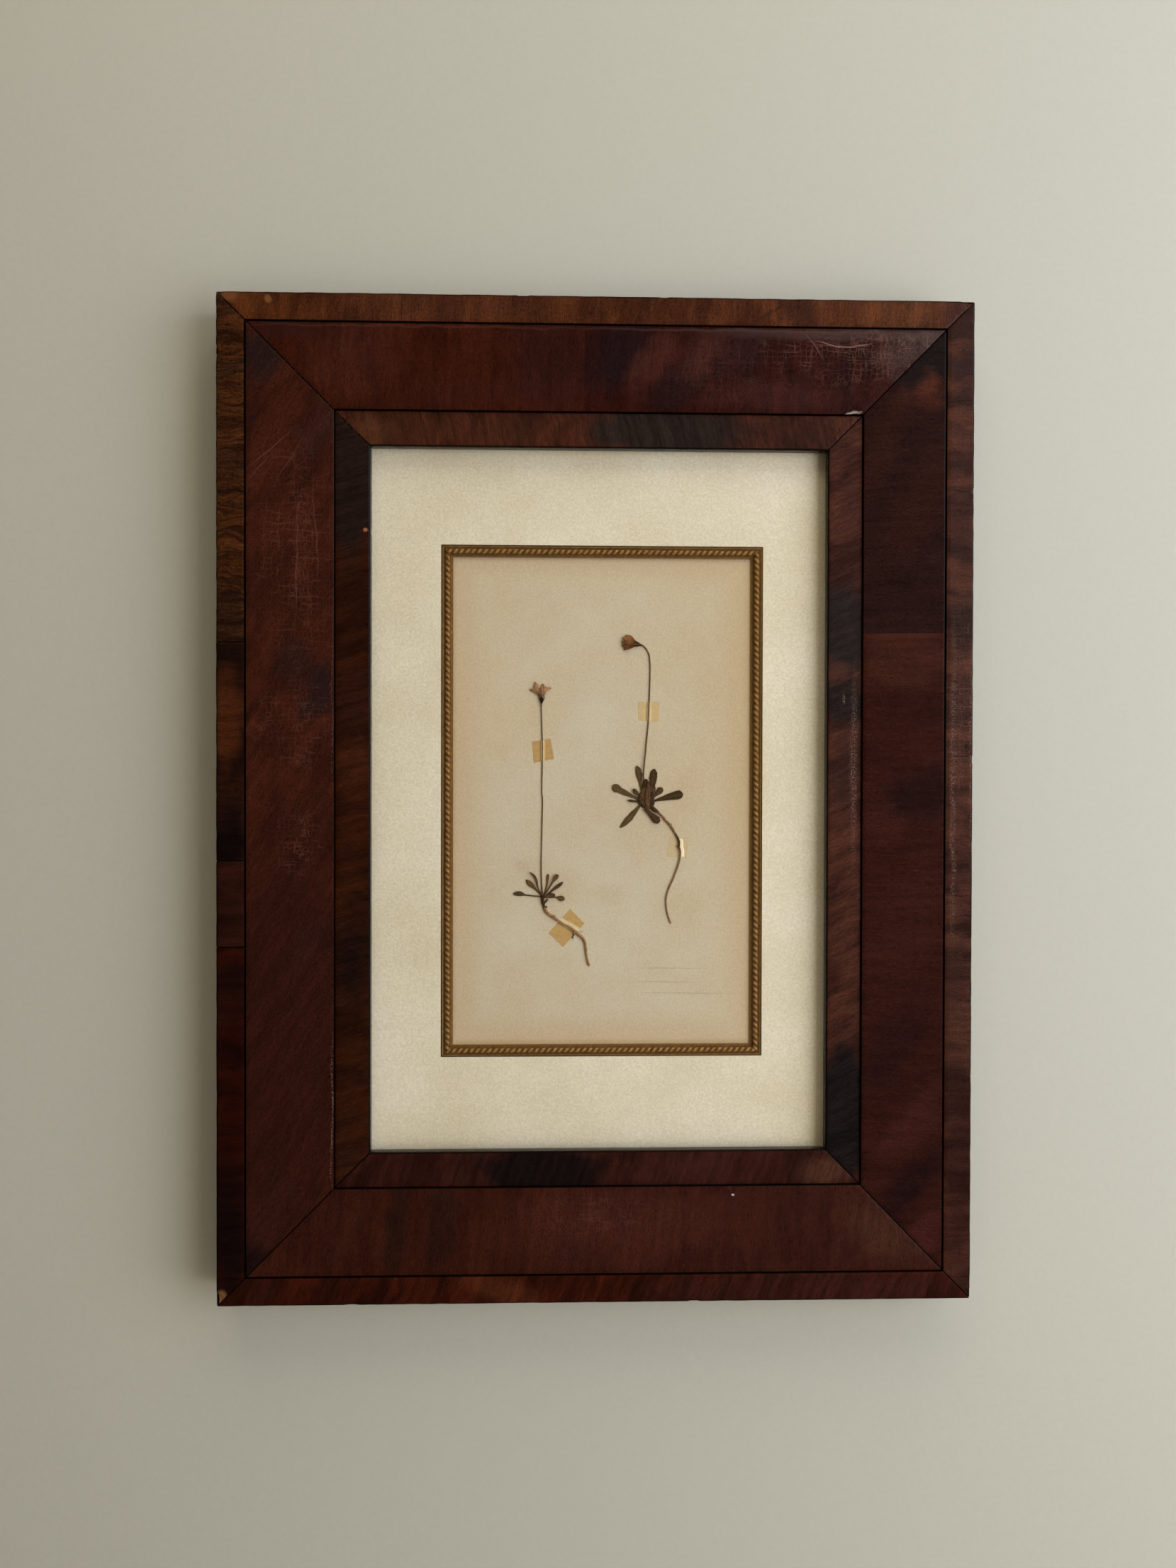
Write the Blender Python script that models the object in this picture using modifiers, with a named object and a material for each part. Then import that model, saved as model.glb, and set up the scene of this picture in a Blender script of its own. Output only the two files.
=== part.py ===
"""Pressed flower frame: a veneered picture frame with two pressed plants behind glass.

Metres, +Z up. The front faces -Y and the wall is the plane y = 0. The origin is the point of the
sawtooth hanger that rests on the wall's nail.
"""
import math

import bmesh
import bpy
from mathutils import Matrix, Vector

MM = 0.001
GAP = 0.3 * MM                 # clearance between pieces that touch
WELD = 0.001 * MM              # vertices closer than this are one

# ---- frame, driving dimensions ----
OUTER_WIDTH = 464 * MM
OUTER_HEIGHT = 617 * MM
RAIL_DEPTH = 30 * MM           # rail back to the face of the outer band
WALL_GAP = 3 * MM              # rail back to wall, held by the bumpers
OUTER_BAND = 17.5 * MM         # width of the raised outer band
SLOPE_WIDTH = {"left": 52.5 * MM, "top": 51 * MM, "right": 49.5 * MM, "bottom": 51.5 * MM}
INNER_STRIP = 22 * MM          # width of the flat strip at the sight edge
SLOPE_TOP = 29.6 * MM          # slope face above the rail back, at the outer groove
SLOPE_FOOT = 23.2 * MM         # and at the inner groove
STRIP_FACE = 21.6 * MM         # face of the inner strip
LIP_BACK = 15 * MM             # back of the lip that the glass bears on
RABBET_WIDTH = 8 * MM
BAND_VENEER = 1.6 * MM
SLOPE_VENEER = 1.2 * MM
GROOVE_HALF = 0.4 * MM         # half of the dark groove between two bands
ARRIS = 0.8 * MM               # worn chamfer on the outer and sight edges

# veneer joints, measured along a rail from the frame's centre (+X or +Z)
LEFT_BAND_JOINTS = [96.5 * MM, -36.5 * MM, -89 * MM]
TOP_SLOPE_JOINT = -8.5 * MM
RIGHT_SLOPE_JOINT = 104.5 * MM

# ---- glazing and mounting, heights above the rail back ----
GLASS_THICKNESS = 2 * MM
MAT_FACE = 11.4 * MM
MAT_THICKNESS = 1.8 * MM
SHEET_FACE = 9.3 * MM
SHEET_THICKNESS = 0.4 * MM
BOARD_THICKNESS = 3 * MM
PANE_CLEARANCE = 1 * MM        # panes are this much smaller than the rabbet on each side

MAT_WINDOW = {"left": -97.5 * MM, "right": 104.4 * MM, "bottom": -160.9 * MM, "top": 159.8 * MM}
FILLET_WIDTH = 7.4 * MM
FILLET_BASE = 9.6 * MM
FILLET_FLAT = 11.1 * MM        # flat beside the mat
FILLET_EDGE = 10.2 * MM        # thin inner edge
BEAD_CENTRE = 3.3 * MM         # bead's middle, from the mat window
BEAD_RADIUS = 1.4 * MM
BEAD_FLATNESS = 0.9            # bead's height as a share of its radius
BEAD_STEPS = 6
FILLET_BRIM = 0.6 * MM         # width of the thin inner edge

# ---- hanger and bumpers ----
HANGER_LENGTH = 45 * MM
HANGER_HEIGHT = 9 * MM
HANGER_THICKNESS = 0.8 * MM
HANGER_JOGGLE = 1.2 * MM       # the middle stands this much off the wood
HANGER_TOOTH = 2.4 * MM
HANGER_TEETH = 9
TOOTHED_SHARE = 0.55           # toothed middle, as a share of the hanger's length
BEND_NEAR, BEND_FAR = 0.32, 0.38   # joggle's two bends, as shares of the length from the middle
HANGER_DROP = 285 * MM         # origin above the frame's centre
BUMPER_RADIUS = 6 * MM
BUMPER_INSET = 27 * MM         # from the side and bottom edges

# ---- pressed plants, heights above the sheet ----
LEAF_THICKNESS = 0.35 * MM
LEAF_CAMBER = 0.2 * MM
LEAF_STEPS = 14                # faces along a leaf
LINE_STEP = 0.02               # share of a leaf's line over which its direction is read
LAYER_PITCH = 0.85 * MM        # overlapping leaves lie in layers
BLADE_FULLNESS = 0.85          # below 1 the blade is rounder than a sine
NARROWEST = 0.1                # half width of a leaf's tip, mm
TAPE_THICKNESS = 0.15 * MM
TAPE_COLUMNS, TAPE_ROWS = 12, 8
TAPE_OVERHANG = 0.9            # tape stays up this far beside a stem, mm
TAPE_TENT = 1.3                # and slopes down to the sheet over this width, mm
PETAL_THICKNESS = 0.4 * MM
PRESSED = 0.6                  # stalks and roots are flattened to this share of their width
SPUR_LIFT = 0.1                # mm
STEM_STEPS = {"left_stalk": 34, "right_stalk": 40, "left_root": 40, "right_root": 42, "spur": 4}

# Each leaf: middle line from crown to tip (mm, from the frame's centre), width, petiole width,
# where the blade begins and where it is widest (0 to 1 from base to tip), layer
LEFT_LEAVES = {
    "left_leaf_1": ([(-35.7, -60.3), (-43.5, -59.6), (-47.6, -58.7), (-52.1, -58.7)],
                    2.9, 0.6, 0.40, 0.74, 0),
    "left_leaf_2": ([(-35.1, -59.0), (-38.0, -56.0), (-41.2, -52.8), (-44.1, -50.0)],
                    3.0, 0.7, 0.30, 0.72, 0),
    "left_leaf_3": ([(-34.8, -58.4), (-36.7, -55.1), (-37.8, -50.1), (-39.4, -47.1), (-41.9, -45.2)],
                    1.4, 0.6, 0.20, 0.62, 1),
    "left_leaf_4": ([(-32.8, -58.6), (-31.2, -53.3), (-30.7, -49.2), (-30.4, -46.3)],
                    1.5, 0.5, 0.35, 0.75, 0),
    "left_leaf_5": ([(-32.3, -59.1), (-28.0, -51.9), (-25.8, -48.7), (-24.2, -46.6)],
                    2.7, 0.8, 0.20, 0.76, 1),
    "left_leaf_6": ([(-30.9, -59.4), (-27.1, -56.0), (-23.9, -53.7), (-21.0, -51.4)],
                    2.0, 0.6, 0.15, 0.64, 0),
    "left_leaf_7": ([(-31.7, -60.9), (-25.9, -60.9), (-22.8, -61.5), (-20.0, -61.9)],
                    3.4, 0.7, 0.40, 0.74, 0),
    "left_leaf_8": ([(-31.6, -60.2), (-28.5, -59.8), (-26.0, -59.3)], 3.1, 1.4, 0.05, 0.55, 1),
}
RIGHT_LEAVES = {
    "right_leaf_1": ([(24.8, 1.7), (21.6, 3.2), (13.6, 7.1), (10.5, 9.5)], 4.9, 1.5, 0.15, 0.75, 0),
    "right_leaf_2": ([(25.6, 4.4), (24.6, 5.4), (23.1, 7.3)], 2.8, 1.4, 0.0, 0.60, 1),
    "right_leaf_3": ([(25.0, -0.4), (23.0, -0.3), (19.6, 0.1)], 1.5, 1.0, 0.1, 0.70, 1),
    "right_leaf_4": ([(26.7, -3.5), (24.0, -7.2), (20.3, -11.6), (15.0, -17.0)], 3.7, 0.9, 0.05, 0.60, 0),
    "right_leaf_5": ([(31.6, -6.2), (33.4, -7.8), (37.2, -11.4), (38.8, -14.2)], 4.8, 2.0, 0.15, 0.74, 1),
    "right_leaf_6": ([(36.7, -0.1), (40.1, 0.9), (49.9, 3.3), (54.4, 4.3)], 5.5, 1.0, 0.05, 0.74, 0),
    "right_leaf_7": ([(37.1, 3.6), (38.8, 5.2), (41.4, 8.0)], 4.1, 1.5, 0.1, 0.70, 0),
    "right_leaf_8": ([(35.7, 10.4), (35.6, 14.0), (36.4, 19.9)], 4.8, 2.4, 0.0, 0.58, 0),
    "right_leaf_9": ([(27.9, 8.2), (27.4, 13.2), (26.7, 17.4), (25.3, 21.8)], 4.0, 1.2, 0.0, 0.66, 0),
}
# the clump of young leaves in the middle of the right rosette
RIGHT_CROWN = [(30.9, 13.6), (33.4, 12.3), (34.1, 9.8), (35.5, 9.5), (36.9, 9.0), (36.3, 5.9),
               (35.4, 1.6), (36.2, -0.3), (35.2, -1.9), (35.8, -3.7), (32.7, -5.5), (29.5, -4.1),
               (27.5, -2.7), (26.2, -0.9), (25.6, 1.3), (26.3, 3.6), (28.4, 6.6), (29.2, 9.5),
               (29.6, 13.0)]
CROWN_THICKNESS = 1.5 * MM

# Stems: (x, y, radius, lift above the sheet), mm, from the top down
LEFT_STALK = [(-34.4, 65.0, 1.70, 0.6), (-34.6, 63.6, 1.25, 0.6), (-34.8, 62.2, 0.85, 0.5),
              (-34.9, 60.5, 0.45, 0.3), (-34.8, 54.3, 0.42, 0), (-34.3, 40.1, 0.42, 0),
              (-34.1, 31.0, 0.42, 0), (-34.3, 17.4, 0.42, 0), (-34.5, 6.0, 0.42, 0),
              (-34.0, -0.8, 0.42, 0), (-34.4, -20.0, 0.42, 0), (-34.8, -41.2, 0.42, 0),
              (-34.5, -52.0, 0.42, 0), (-34.0, -58.6, 0.5, 0)]
RIGHT_STALK = [(22.6, 98.5, 1.75, 0.6), (24.4, 98.5, 1.65, 0.6), (26.6, 98.0, 1.05, 0.5),
               (29.1, 97.3, 0.48, 0.2), (31.1, 95.2, 0.46, 0), (32.7, 92.1, 0.46, 0),
               (33.3, 87.7, 0.46, 0), (33.5, 81.5, 0.46, 0), (33.3, 72.7, 0.46, 0),
               (33.0, 63.9, 0.46, 0), (32.6, 54.6, 0.46, 0), (32.2, 46.4, 0.46, 0),
               (31.2, 36.4, 0.46, 0), (30.3, 26.6, 0.46, 0.6), (29.4, 17.7, 0.46, 0.7),
               (29.5, 14.6, 0.5, 0.7)]
LEFT_ROOT = [(-33.9, -59.6, 0.55, 0), (-33.8, -60.6, 1.10, 0), (-33.8, -62.2, 0.95, 0),
             (-33.8, -63.8, 0.90, 0), (-33.0, -66.5, 0.80, 0), (-31.6, -69.7, 0.90, 0),
             (-29.4, -71.7, 0.85, 0), (-26.6, -73.6, 0.92, 0), (-23.9, -75.6, 0.75, 0),
             (-20.3, -77.9, 0.72, 0), (-17.1, -79.5, 0.80, 0), (-14.3, -81.6, 1.05, 0),
             (-11.6, -83.9, 1.12, 0), (-9.3, -85.7, 1.0, 0), (-7.5, -88.4, 0.90, 0),
             (-6.8, -91.2, 0.80, 0), (-6.5, -94.4, 0.85, 0), (-5.9, -98.5, 0.72, 0),
             (-5.2, -101.7, 0.78, 0), (-4.4, -104.1, 0.75, 0)]
RIGHT_ROOT = [(36.2, -5.6, 1.3, 0), (37.6, -6.6, 1.0, 0), (39.6, -8.1, 0.85, 0),
              (41.7, -10.1, 0.85, 0), (43.8, -12.6, 0.9, 0), (46.5, -15.4, 1.0, 0),
              (48.9, -19.4, 0.85, 0), (50.7, -22.6, 0.8, 0), (52.0, -26.0, 0.9, 0),
              (51.9, -29.2, 0.95, 0), (52.8, -32.2, 0.75, 0), (52.3, -37.8, 0.8, 0),
              (51.2, -41.5, 0.75, 0), (48.7, -48.5, 0.7, 0), (45.6, -55.4, 0.7, 0),
              (44.0, -61.0, 0.65, 0), (44.0, -66.1, 0.65, 0), (45.0, -71.8, 0.6, 0),
              (47.0, -77.4, 0.6, 0)]
# dead leaf base and knobs that stand out from the left root: (x, y, radius) at each end
LEFT_ROOT_SPURS = [((-33.4, -65.3, 0.55), (-30.4, -62.2, 0.5)),
                   ((-32.4, -67.4, 0.5), (-31.2, -66.7, 0.55)),
                   ((-14.6, -82.6, 0.4), (-14.0, -84.6, 0.45)),
                   ((-6.4, -92.9, 0.45), (-5.5, -93.0, 0.45))]
RIGHT_ROOT_SPURS = [((46.3, -15.2, 0.45), (47.3, -14.8, 0.45)),
                    ((51.2, -28.6, 0.5), (50.8, -29.2, 0.5)),
                    ((52.2, -26.2, 0.4), (52.9, -25.6, 0.45))]

LEFT_FLOWER = [(-41.8, 69.1), (-41.4, 70.7), (-39.4, 70.4), (-38.6, 73.6), (-35.6, 71.6), (-35.4, 72.6),
               (-32.8, 72.7), (-32.5, 71.9), (-29.1, 70.6), (-31.9, 69.8), (-32.8, 67.9), (-34.0, 65.0),
               (-34.5, 64.1), (-36.0, 65.4), (-38.5, 68.1), (-39.8, 68.6)]
RIGHT_FLOWER = [(24.6, 99.4), (22.9, 100.4), (21.6, 101.9), (20.8, 103.4), (20.1, 103.8), (17.2, 103.5),
                (17.4, 101.9), (16.0, 101.0), (16.5, 99.7), (15.9, 98.5), (16.3, 97.2), (17.4, 96.3),
                (16.7, 94.6), (18.7, 95.7), (20.8, 96.0), (22.7, 96.8), (24.7, 97.2)]

# Tapes: four corners in mm, and the stem they hold down
TAPES = {
    "tape_1": ([(-40.7, 36.9), (-29.0, 38.8), (-26.8, 26.2), (-39.6, 23.6)], LEFT_STALK),
    "tape_2": ([(25.8, 62.3), (40.0, 62.2), (38.8, 49.5), (26.2, 50.5)], RIGHT_STALK),
    "tape_3": ([(-16.5, -68.3), (-7.4, -77.3), (-21.0, -92.2), (-30.0, -83.3)], LEFT_ROOT),
    "tape_4": ([(45.9, -23.0), (58.1, -23.7), (56.9, -36.1), (44.0, -35.3)], RIGHT_ROOT),
}

# Rails in order, each a quarter turn on from the last
SIDES = ["left", "top", "right", "bottom"]
FRAME_EDGES = {"left": -OUTER_WIDTH / 2, "right": OUTER_WIDTH / 2,
               "bottom": -OUTER_HEIGHT / 2, "top": OUTER_HEIGHT / 2}


def clear_scene():
    for obj in list(bpy.data.objects):
        bpy.data.objects.remove(obj, do_unlink=True)


def new_collection(name):
    collection = bpy.data.collections.new(name)
    bpy.context.scene.collection.children.link(collection)
    return collection


def principled(name, colour, roughness, metallic=0.0, transmission=0.0):
    material = bpy.data.materials.new(name)
    material.use_nodes = True
    shader = material.node_tree.nodes["Principled BSDF"]
    shader.inputs["Base Color"].default_value = (*colour, 1.0)
    shader.inputs["Roughness"].default_value = roughness
    shader.inputs["Metallic"].default_value = metallic
    shader.inputs["Transmission Weight"].default_value = transmission
    material.diffuse_color = (*colour, 1.0)
    return material


clear_scene()
PIECES = new_collection("pressed_flower_frame")

PINE = principled("rail_pine", (0.30, 0.17, 0.08), 0.7)
BAND_MAHOGANY = principled("cross_banded_mahogany", (0.055, 0.018, 0.008), 0.35)
SLOPE_MAHOGANY = principled("figured_mahogany", (0.032, 0.010, 0.006), 0.3)
STRIP_MAHOGANY = principled("strip_mahogany", (0.038, 0.014, 0.008), 0.4)
CLEAR_GLASS = principled("window_glass", (0.95, 0.97, 0.95), 0.03, transmission=1.0)
MAT_BOARD = principled("mat_board", (0.62, 0.55, 0.41), 0.9)
GILT = principled("dull_gilt", (0.14, 0.075, 0.022), 0.45, metallic=0.6)
SHEET_PAPER = principled("sheet_paper", (0.50, 0.42, 0.29), 0.92)
BOARD = principled("backing_board", (0.26, 0.19, 0.11), 0.85)
PLATED_STEEL = principled("plated_steel", (0.55, 0.45, 0.25), 0.4, metallic=1.0)
FELT = principled("felt", (0.05, 0.05, 0.045), 0.95)
LEAF = principled("dry_leaf", (0.047, 0.032, 0.012), 0.7)
STALK = principled("dry_stalk", (0.060, 0.035, 0.012), 0.7)
ROOT = principled("dry_root", (0.20, 0.12, 0.05), 0.8)
PINK_PETAL = principled("faded_petal", (0.26, 0.14, 0.07), 0.75)
RUST_PETAL = principled("rusty_petal", (0.14, 0.06, 0.02), 0.75)
TAPE = principled("aged_tape", (0.42, 0.26, 0.10), 0.3)


def empty(name, location, rotation=(0, 0, 0), parent=None):
    holder = bpy.data.objects.new(name, None)
    holder.location = location
    holder.rotation_euler = rotation
    holder.parent = parent
    PIECES.objects.link(holder)
    return holder


FRAME = empty("frame_centre", (0, 0, -HANGER_DROP))
# local X right, local Y up, local Z out of the sheet towards the viewer
SHEET_PLANE = empty("sheet_plane", (0, -WALL_GAP - SHEET_FACE, 0), (math.pi / 2, 0, 0), FRAME)


def add_piece(name, mesh, material, parent=FRAME, location=(0, 0, 0), rotation=(0, 0, 0)):
    mesh.materials.clear()
    mesh.materials.append(material)
    obj = bpy.data.objects.new(name, mesh)
    obj.parent = parent
    obj.location = location
    obj.rotation_euler = rotation
    PIECES.objects.link(obj)
    return obj


def curve_to_mesh(curve, name):
    """Turn a curve into a closed mesh with its caps welded on."""
    obj = bpy.data.objects.new(name + "_curve", curve)
    PIECES.objects.link(obj)
    bpy.context.view_layer.update()
    evaluated = obj.evaluated_get(bpy.context.evaluated_depsgraph_get())
    mesh = bpy.data.meshes.new_from_object(evaluated)
    bpy.data.objects.remove(obj, do_unlink=True)
    bm = bmesh.new()
    bm.from_mesh(mesh)
    bmesh.ops.remove_doubles(bm, verts=bm.verts, dist=WELD)
    bmesh.ops.recalc_face_normals(bm, faces=bm.faces)
    bm.to_mesh(mesh)
    bm.free()
    mesh.name = name
    return mesh


def flat_outline(name, outlines, half_thickness):
    """A plate in the XY plane from closed outlines; a second outline inside the first is a hole."""
    curve = bpy.data.curves.new(name, "CURVE")
    curve.dimensions = "2D"
    curve.fill_mode = "BOTH"
    curve.extrude = half_thickness
    for outline in outlines:
        spline = curve.splines.new("POLY")
        spline.points.add(len(outline) - 1)
        for point, (x, y) in zip(spline.points, outline):
            point.co = (x, y, 0, 1)
        spline.use_cyclic_u = True
    return curve_to_mesh(curve, name)


# ---- rails, veneers and fillets: one section swept along a side, with mitred ends ----

def side_place(side, edges, back):
    """Where a side's outer edge is: local X points inwards, Y to the viewer, Z along the side."""
    middle_x = (edges["left"] + edges["right"]) / 2
    middle_z = (edges["bottom"] + edges["top"]) / 2
    x = edges[side] if side in ("left", "right") else middle_x
    z = edges[side] if side in ("top", "bottom") else middle_z
    return (x, -back, z), (math.pi, SIDES.index(side) * math.pi / 2, 0)


def side_length(side, edges):
    if side in ("left", "right"):
        return edges["top"] - edges["bottom"]
    return edges["right"] - edges["left"]


def along_side(side, edges, distance):
    """A distance along +X or +Z from the frame's centre, as local Z on this side."""
    if side in ("left", "right"):
        distance -= (edges["bottom"] + edges["top"]) / 2
    else:
        distance -= (edges["left"] + edges["right"]) / 2
    return distance if side in ("right", "bottom") else -distance


def cut_end(bm, point, normal):
    geometry = bm.verts[:] + bm.edges[:] + bm.faces[:]
    cut = bmesh.ops.bisect_plane(bm, geom=geometry, dist=WELD, plane_co=point, plane_no=normal,
                                 clear_outer=True)
    rim = [item for item in cut["geom_cut"] if isinstance(item, bmesh.types.BMEdge)]
    bmesh.ops.contextual_create(bm, geom=rim)


def side_piece(name, side, outline, material, edges, widths, back, low=None, high=None):
    """Sweep a section along one side. An end is mitred, or cut square at low or high (local Z)."""
    length = side_length(side, edges)
    mesh = flat_outline(name, [outline], length / 2)
    turn = SIDES.index(side)
    own = widths[side]
    bm = bmesh.new()
    bm.from_mesh(mesh)
    for sign, neighbour, square in ((1, SIDES[turn - 1], high), (-1, SIDES[(turn + 1) % 4], low)):
        if square is not None:
            cut_end(bm, Vector((0, 0, square - sign * GAP / 2)), Vector((0, 0, sign)))
            continue
        normal = Vector((widths[neighbour], 0, sign * own)).normalized()
        corner = Vector((0, 0, sign * length / 2))
        cut_end(bm, corner - normal * GAP / 2, normal)
    bmesh.ops.recalc_face_normals(bm, faces=bm.faces)
    bm.to_mesh(mesh)
    bm.free()
    location, rotation = side_place(side, edges, back)
    return add_piece(name, mesh, material, location=location, rotation=rotation)


RAIL_WIDTH = {side: OUTER_BAND + SLOPE_WIDTH[side] + INNER_STRIP for side in SIDES}


def slope_height(side, u):
    return SLOPE_TOP - (SLOPE_TOP - SLOPE_FOOT) * (u - OUTER_BAND) / SLOPE_WIDTH[side]


def core_outline(side):
    foot = OUTER_BAND + SLOPE_WIDTH[side]
    seat = SLOPE_VENEER + GAP
    rabbet = RAIL_WIDTH[side] - RABBET_WIDTH
    return [(0, 0), (rabbet, 0), (rabbet, LIP_BACK - GAP), (foot, LIP_BACK - GAP),
            (foot, SLOPE_FOOT - seat), (OUTER_BAND, SLOPE_TOP - seat), (0, RAIL_DEPTH - BAND_VENEER - GAP)]


def band_outline():
    inner = OUTER_BAND - GROOVE_HALF
    base = RAIL_DEPTH - BAND_VENEER
    return [(0, base), (inner, base), (inner, RAIL_DEPTH), (ARRIS, RAIL_DEPTH), (0, RAIL_DEPTH - ARRIS)]


def slope_outline(side):
    high = OUTER_BAND + GROOVE_HALF
    low = OUTER_BAND + SLOPE_WIDTH[side]
    top, foot = slope_height(side, high), slope_height(side, low)
    return [(high, top - SLOPE_VENEER), (low, foot - SLOPE_VENEER), (low, foot), (high, top)]


def strip_outline(side):
    start = OUTER_BAND + SLOPE_WIDTH[side] + GROOVE_HALF
    sight = RAIL_WIDTH[side]
    return [(start, LIP_BACK), (sight, LIP_BACK), (sight, STRIP_FACE - ARRIS), (sight - ARRIS, STRIP_FACE),
            (start, STRIP_FACE)]


def split_side(name, side, outline, material, joints):
    """One run of veneer, or several that meet at square joints, numbered along +local Z."""
    marks = sorted(along_side(side, FRAME_EDGES, joint) for joint in joints)
    bounds = [None] + marks + [None]
    for index in range(len(bounds) - 1):
        piece = name if not joints else "%s_%d" % (name, index + 1)
        side_piece(piece, side, outline, material, FRAME_EDGES, RAIL_WIDTH, WALL_GAP,
                   low=bounds[index], high=bounds[index + 1])


def build_rails():
    band_joints = {"left": LEFT_BAND_JOINTS}
    slope_joints = {"top": [TOP_SLOPE_JOINT], "right": [RIGHT_SLOPE_JOINT]}
    for side in SIDES:
        side_piece("rail_core_" + side, side, core_outline(side), PINE, FRAME_EDGES, RAIL_WIDTH, WALL_GAP)
        split_side("outer_band_" + side, side, band_outline(), BAND_MAHOGANY, band_joints.get(side, []))
        split_side("slope_veneer_" + side, side, slope_outline(side), SLOPE_MAHOGANY,
                   slope_joints.get(side, []))
        side_piece("inner_strip_" + side, side, strip_outline(side), STRIP_MAHOGANY, FRAME_EDGES,
                   RAIL_WIDTH, WALL_GAP)


def fillet_outline():
    bead = []
    for step in range(BEAD_STEPS + 1):
        angle = math.pi * step / BEAD_STEPS
        bead.append((BEAD_CENTRE + BEAD_RADIUS * math.cos(angle),
                     FILLET_FLAT + BEAD_RADIUS * BEAD_FLATNESS * math.sin(angle)))
    return [(GAP, FILLET_BASE), (FILLET_WIDTH, FILLET_BASE), (FILLET_WIDTH, FILLET_EDGE),
            (FILLET_WIDTH - FILLET_BRIM, FILLET_EDGE)] + bead + [(GAP, FILLET_FLAT)]


def build_fillets():
    widths = {side: FILLET_WIDTH for side in SIDES}
    for side in SIDES:
        side_piece("fillet_" + side, side, fillet_outline(), GILT, MAT_WINDOW, widths, WALL_GAP)


# ---- panes that lie in the rabbet ----

RABBET = {"left": FRAME_EDGES["left"] + RAIL_WIDTH["left"] - RABBET_WIDTH,
          "right": FRAME_EDGES["right"] - RAIL_WIDTH["right"] + RABBET_WIDTH,
          "bottom": FRAME_EDGES["bottom"] + RAIL_WIDTH["bottom"] - RABBET_WIDTH,
          "top": FRAME_EDGES["top"] - RAIL_WIDTH["top"] + RABBET_WIDTH}


def pane(name, front, thickness, material):
    """A box that fills the rabbet, with its front this far above the rail back."""
    width = RABBET["right"] - RABBET["left"] - 2 * PANE_CLEARANCE
    height = RABBET["top"] - RABBET["bottom"] - 2 * PANE_CLEARANCE
    mesh = bpy.data.meshes.new(name)
    bm = bmesh.new()
    bmesh.ops.create_cube(bm, size=1, matrix=Matrix.Diagonal((width, thickness, height, 1)))
    bm.to_mesh(mesh)
    bm.free()
    centre = ((RABBET["left"] + RABBET["right"]) / 2, -WALL_GAP - front + thickness / 2,
              (RABBET["bottom"] + RABBET["top"]) / 2)
    return add_piece(name, mesh, material, location=centre)


def rectangle(edges):
    return [(edges["left"], edges["bottom"]), (edges["right"], edges["bottom"]),
            (edges["right"], edges["top"]), (edges["left"], edges["top"])]


def build_mat():
    outer = {"left": RABBET["left"] + PANE_CLEARANCE, "right": RABBET["right"] - PANE_CLEARANCE,
             "bottom": RABBET["bottom"] + PANE_CLEARANCE, "top": RABBET["top"] - PANE_CLEARANCE}
    mesh = flat_outline("mat", [rectangle(outer), rectangle(MAT_WINDOW)], MAT_THICKNESS / 2)
    middle = -WALL_GAP - MAT_FACE + MAT_THICKNESS / 2
    add_piece("mat", mesh, MAT_BOARD, location=(0, middle, 0), rotation=(math.pi / 2, 0, 0))


def build_panes():
    pane("glass_pane", LIP_BACK - GAP, GLASS_THICKNESS, CLEAR_GLASS)
    build_mat()
    pane("specimen_sheet", SHEET_FACE, SHEET_THICKNESS, SHEET_PAPER)
    pane("backing_board", SHEET_FACE - SHEET_THICKNESS - GAP, BOARD_THICKNESS, BOARD)


# ---- pressed plants ----

def smooth_point(points, t):
    """A point at 0 to 1 along a smooth curve through the points (any number of values each)."""
    spans = len(points) - 1
    span = min(int(t * spans), spans - 1)
    f = t * spans - span
    a = points[max(span - 1, 0)]
    b, c = points[span], points[span + 1]
    d = points[min(span + 2, spans)]
    return [0.5 * (2 * q + (r - p) * f + (2 * p - 5 * q + 4 * r - s) * f ** 2
                   + (3 * q - p - 3 * r + s) * f ** 3)
            for p, q, r, s in zip(a, b, c, d)]


def leaf_half_width(t, width, petiole, blade_start, widest):
    """A narrow petiole that opens into a rounded blade, widest at the given place."""
    along = min(max((t - blade_start) / (1 - blade_start), 0), 1)
    power = math.log(0.5) / math.log((widest - blade_start) / (1 - blade_start))
    blade = max(math.sin(math.pi * along ** power), 0) ** BLADE_FULLNESS
    stem = petiole * (1 - along ** 2)
    return max(0.5 * (stem + (width - stem) * blade), NARROWEST)


def leaf(name, spec):
    line, width, petiole, blade_start, widest, layer = spec
    mesh = bpy.data.meshes.new(name)
    bm = bmesh.new()
    bmesh.ops.create_grid(bm, x_segments=LEAF_STEPS, y_segments=2, size=1)
    base = GAP + layer * LAYER_PITCH
    for vert in bm.verts:
        t = (vert.co.x + 1) / 2
        side = vert.co.y
        here = Vector(smooth_point(line, t))
        before, after = max(t - LINE_STEP, 0), min(t + LINE_STEP, 1)
        ahead = Vector(smooth_point(line, after)) - Vector(smooth_point(line, before))
        across_line = Vector((-ahead.y, ahead.x)).normalized()
        half = leaf_half_width(t, width, petiole, blade_start, widest)
        flat = (here + across_line * half * side) * MM
        vert.co = (flat.x, flat.y, base + LEAF_CAMBER * (1 - side * side))
    bm.to_mesh(mesh)
    bm.free()
    obj = add_piece(name, mesh, LEAF, parent=SHEET_PLANE)
    solid = obj.modifiers.new("thickness", "SOLIDIFY")
    solid.thickness = LEAF_THICKNESS
    solid.offset = 1


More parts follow.
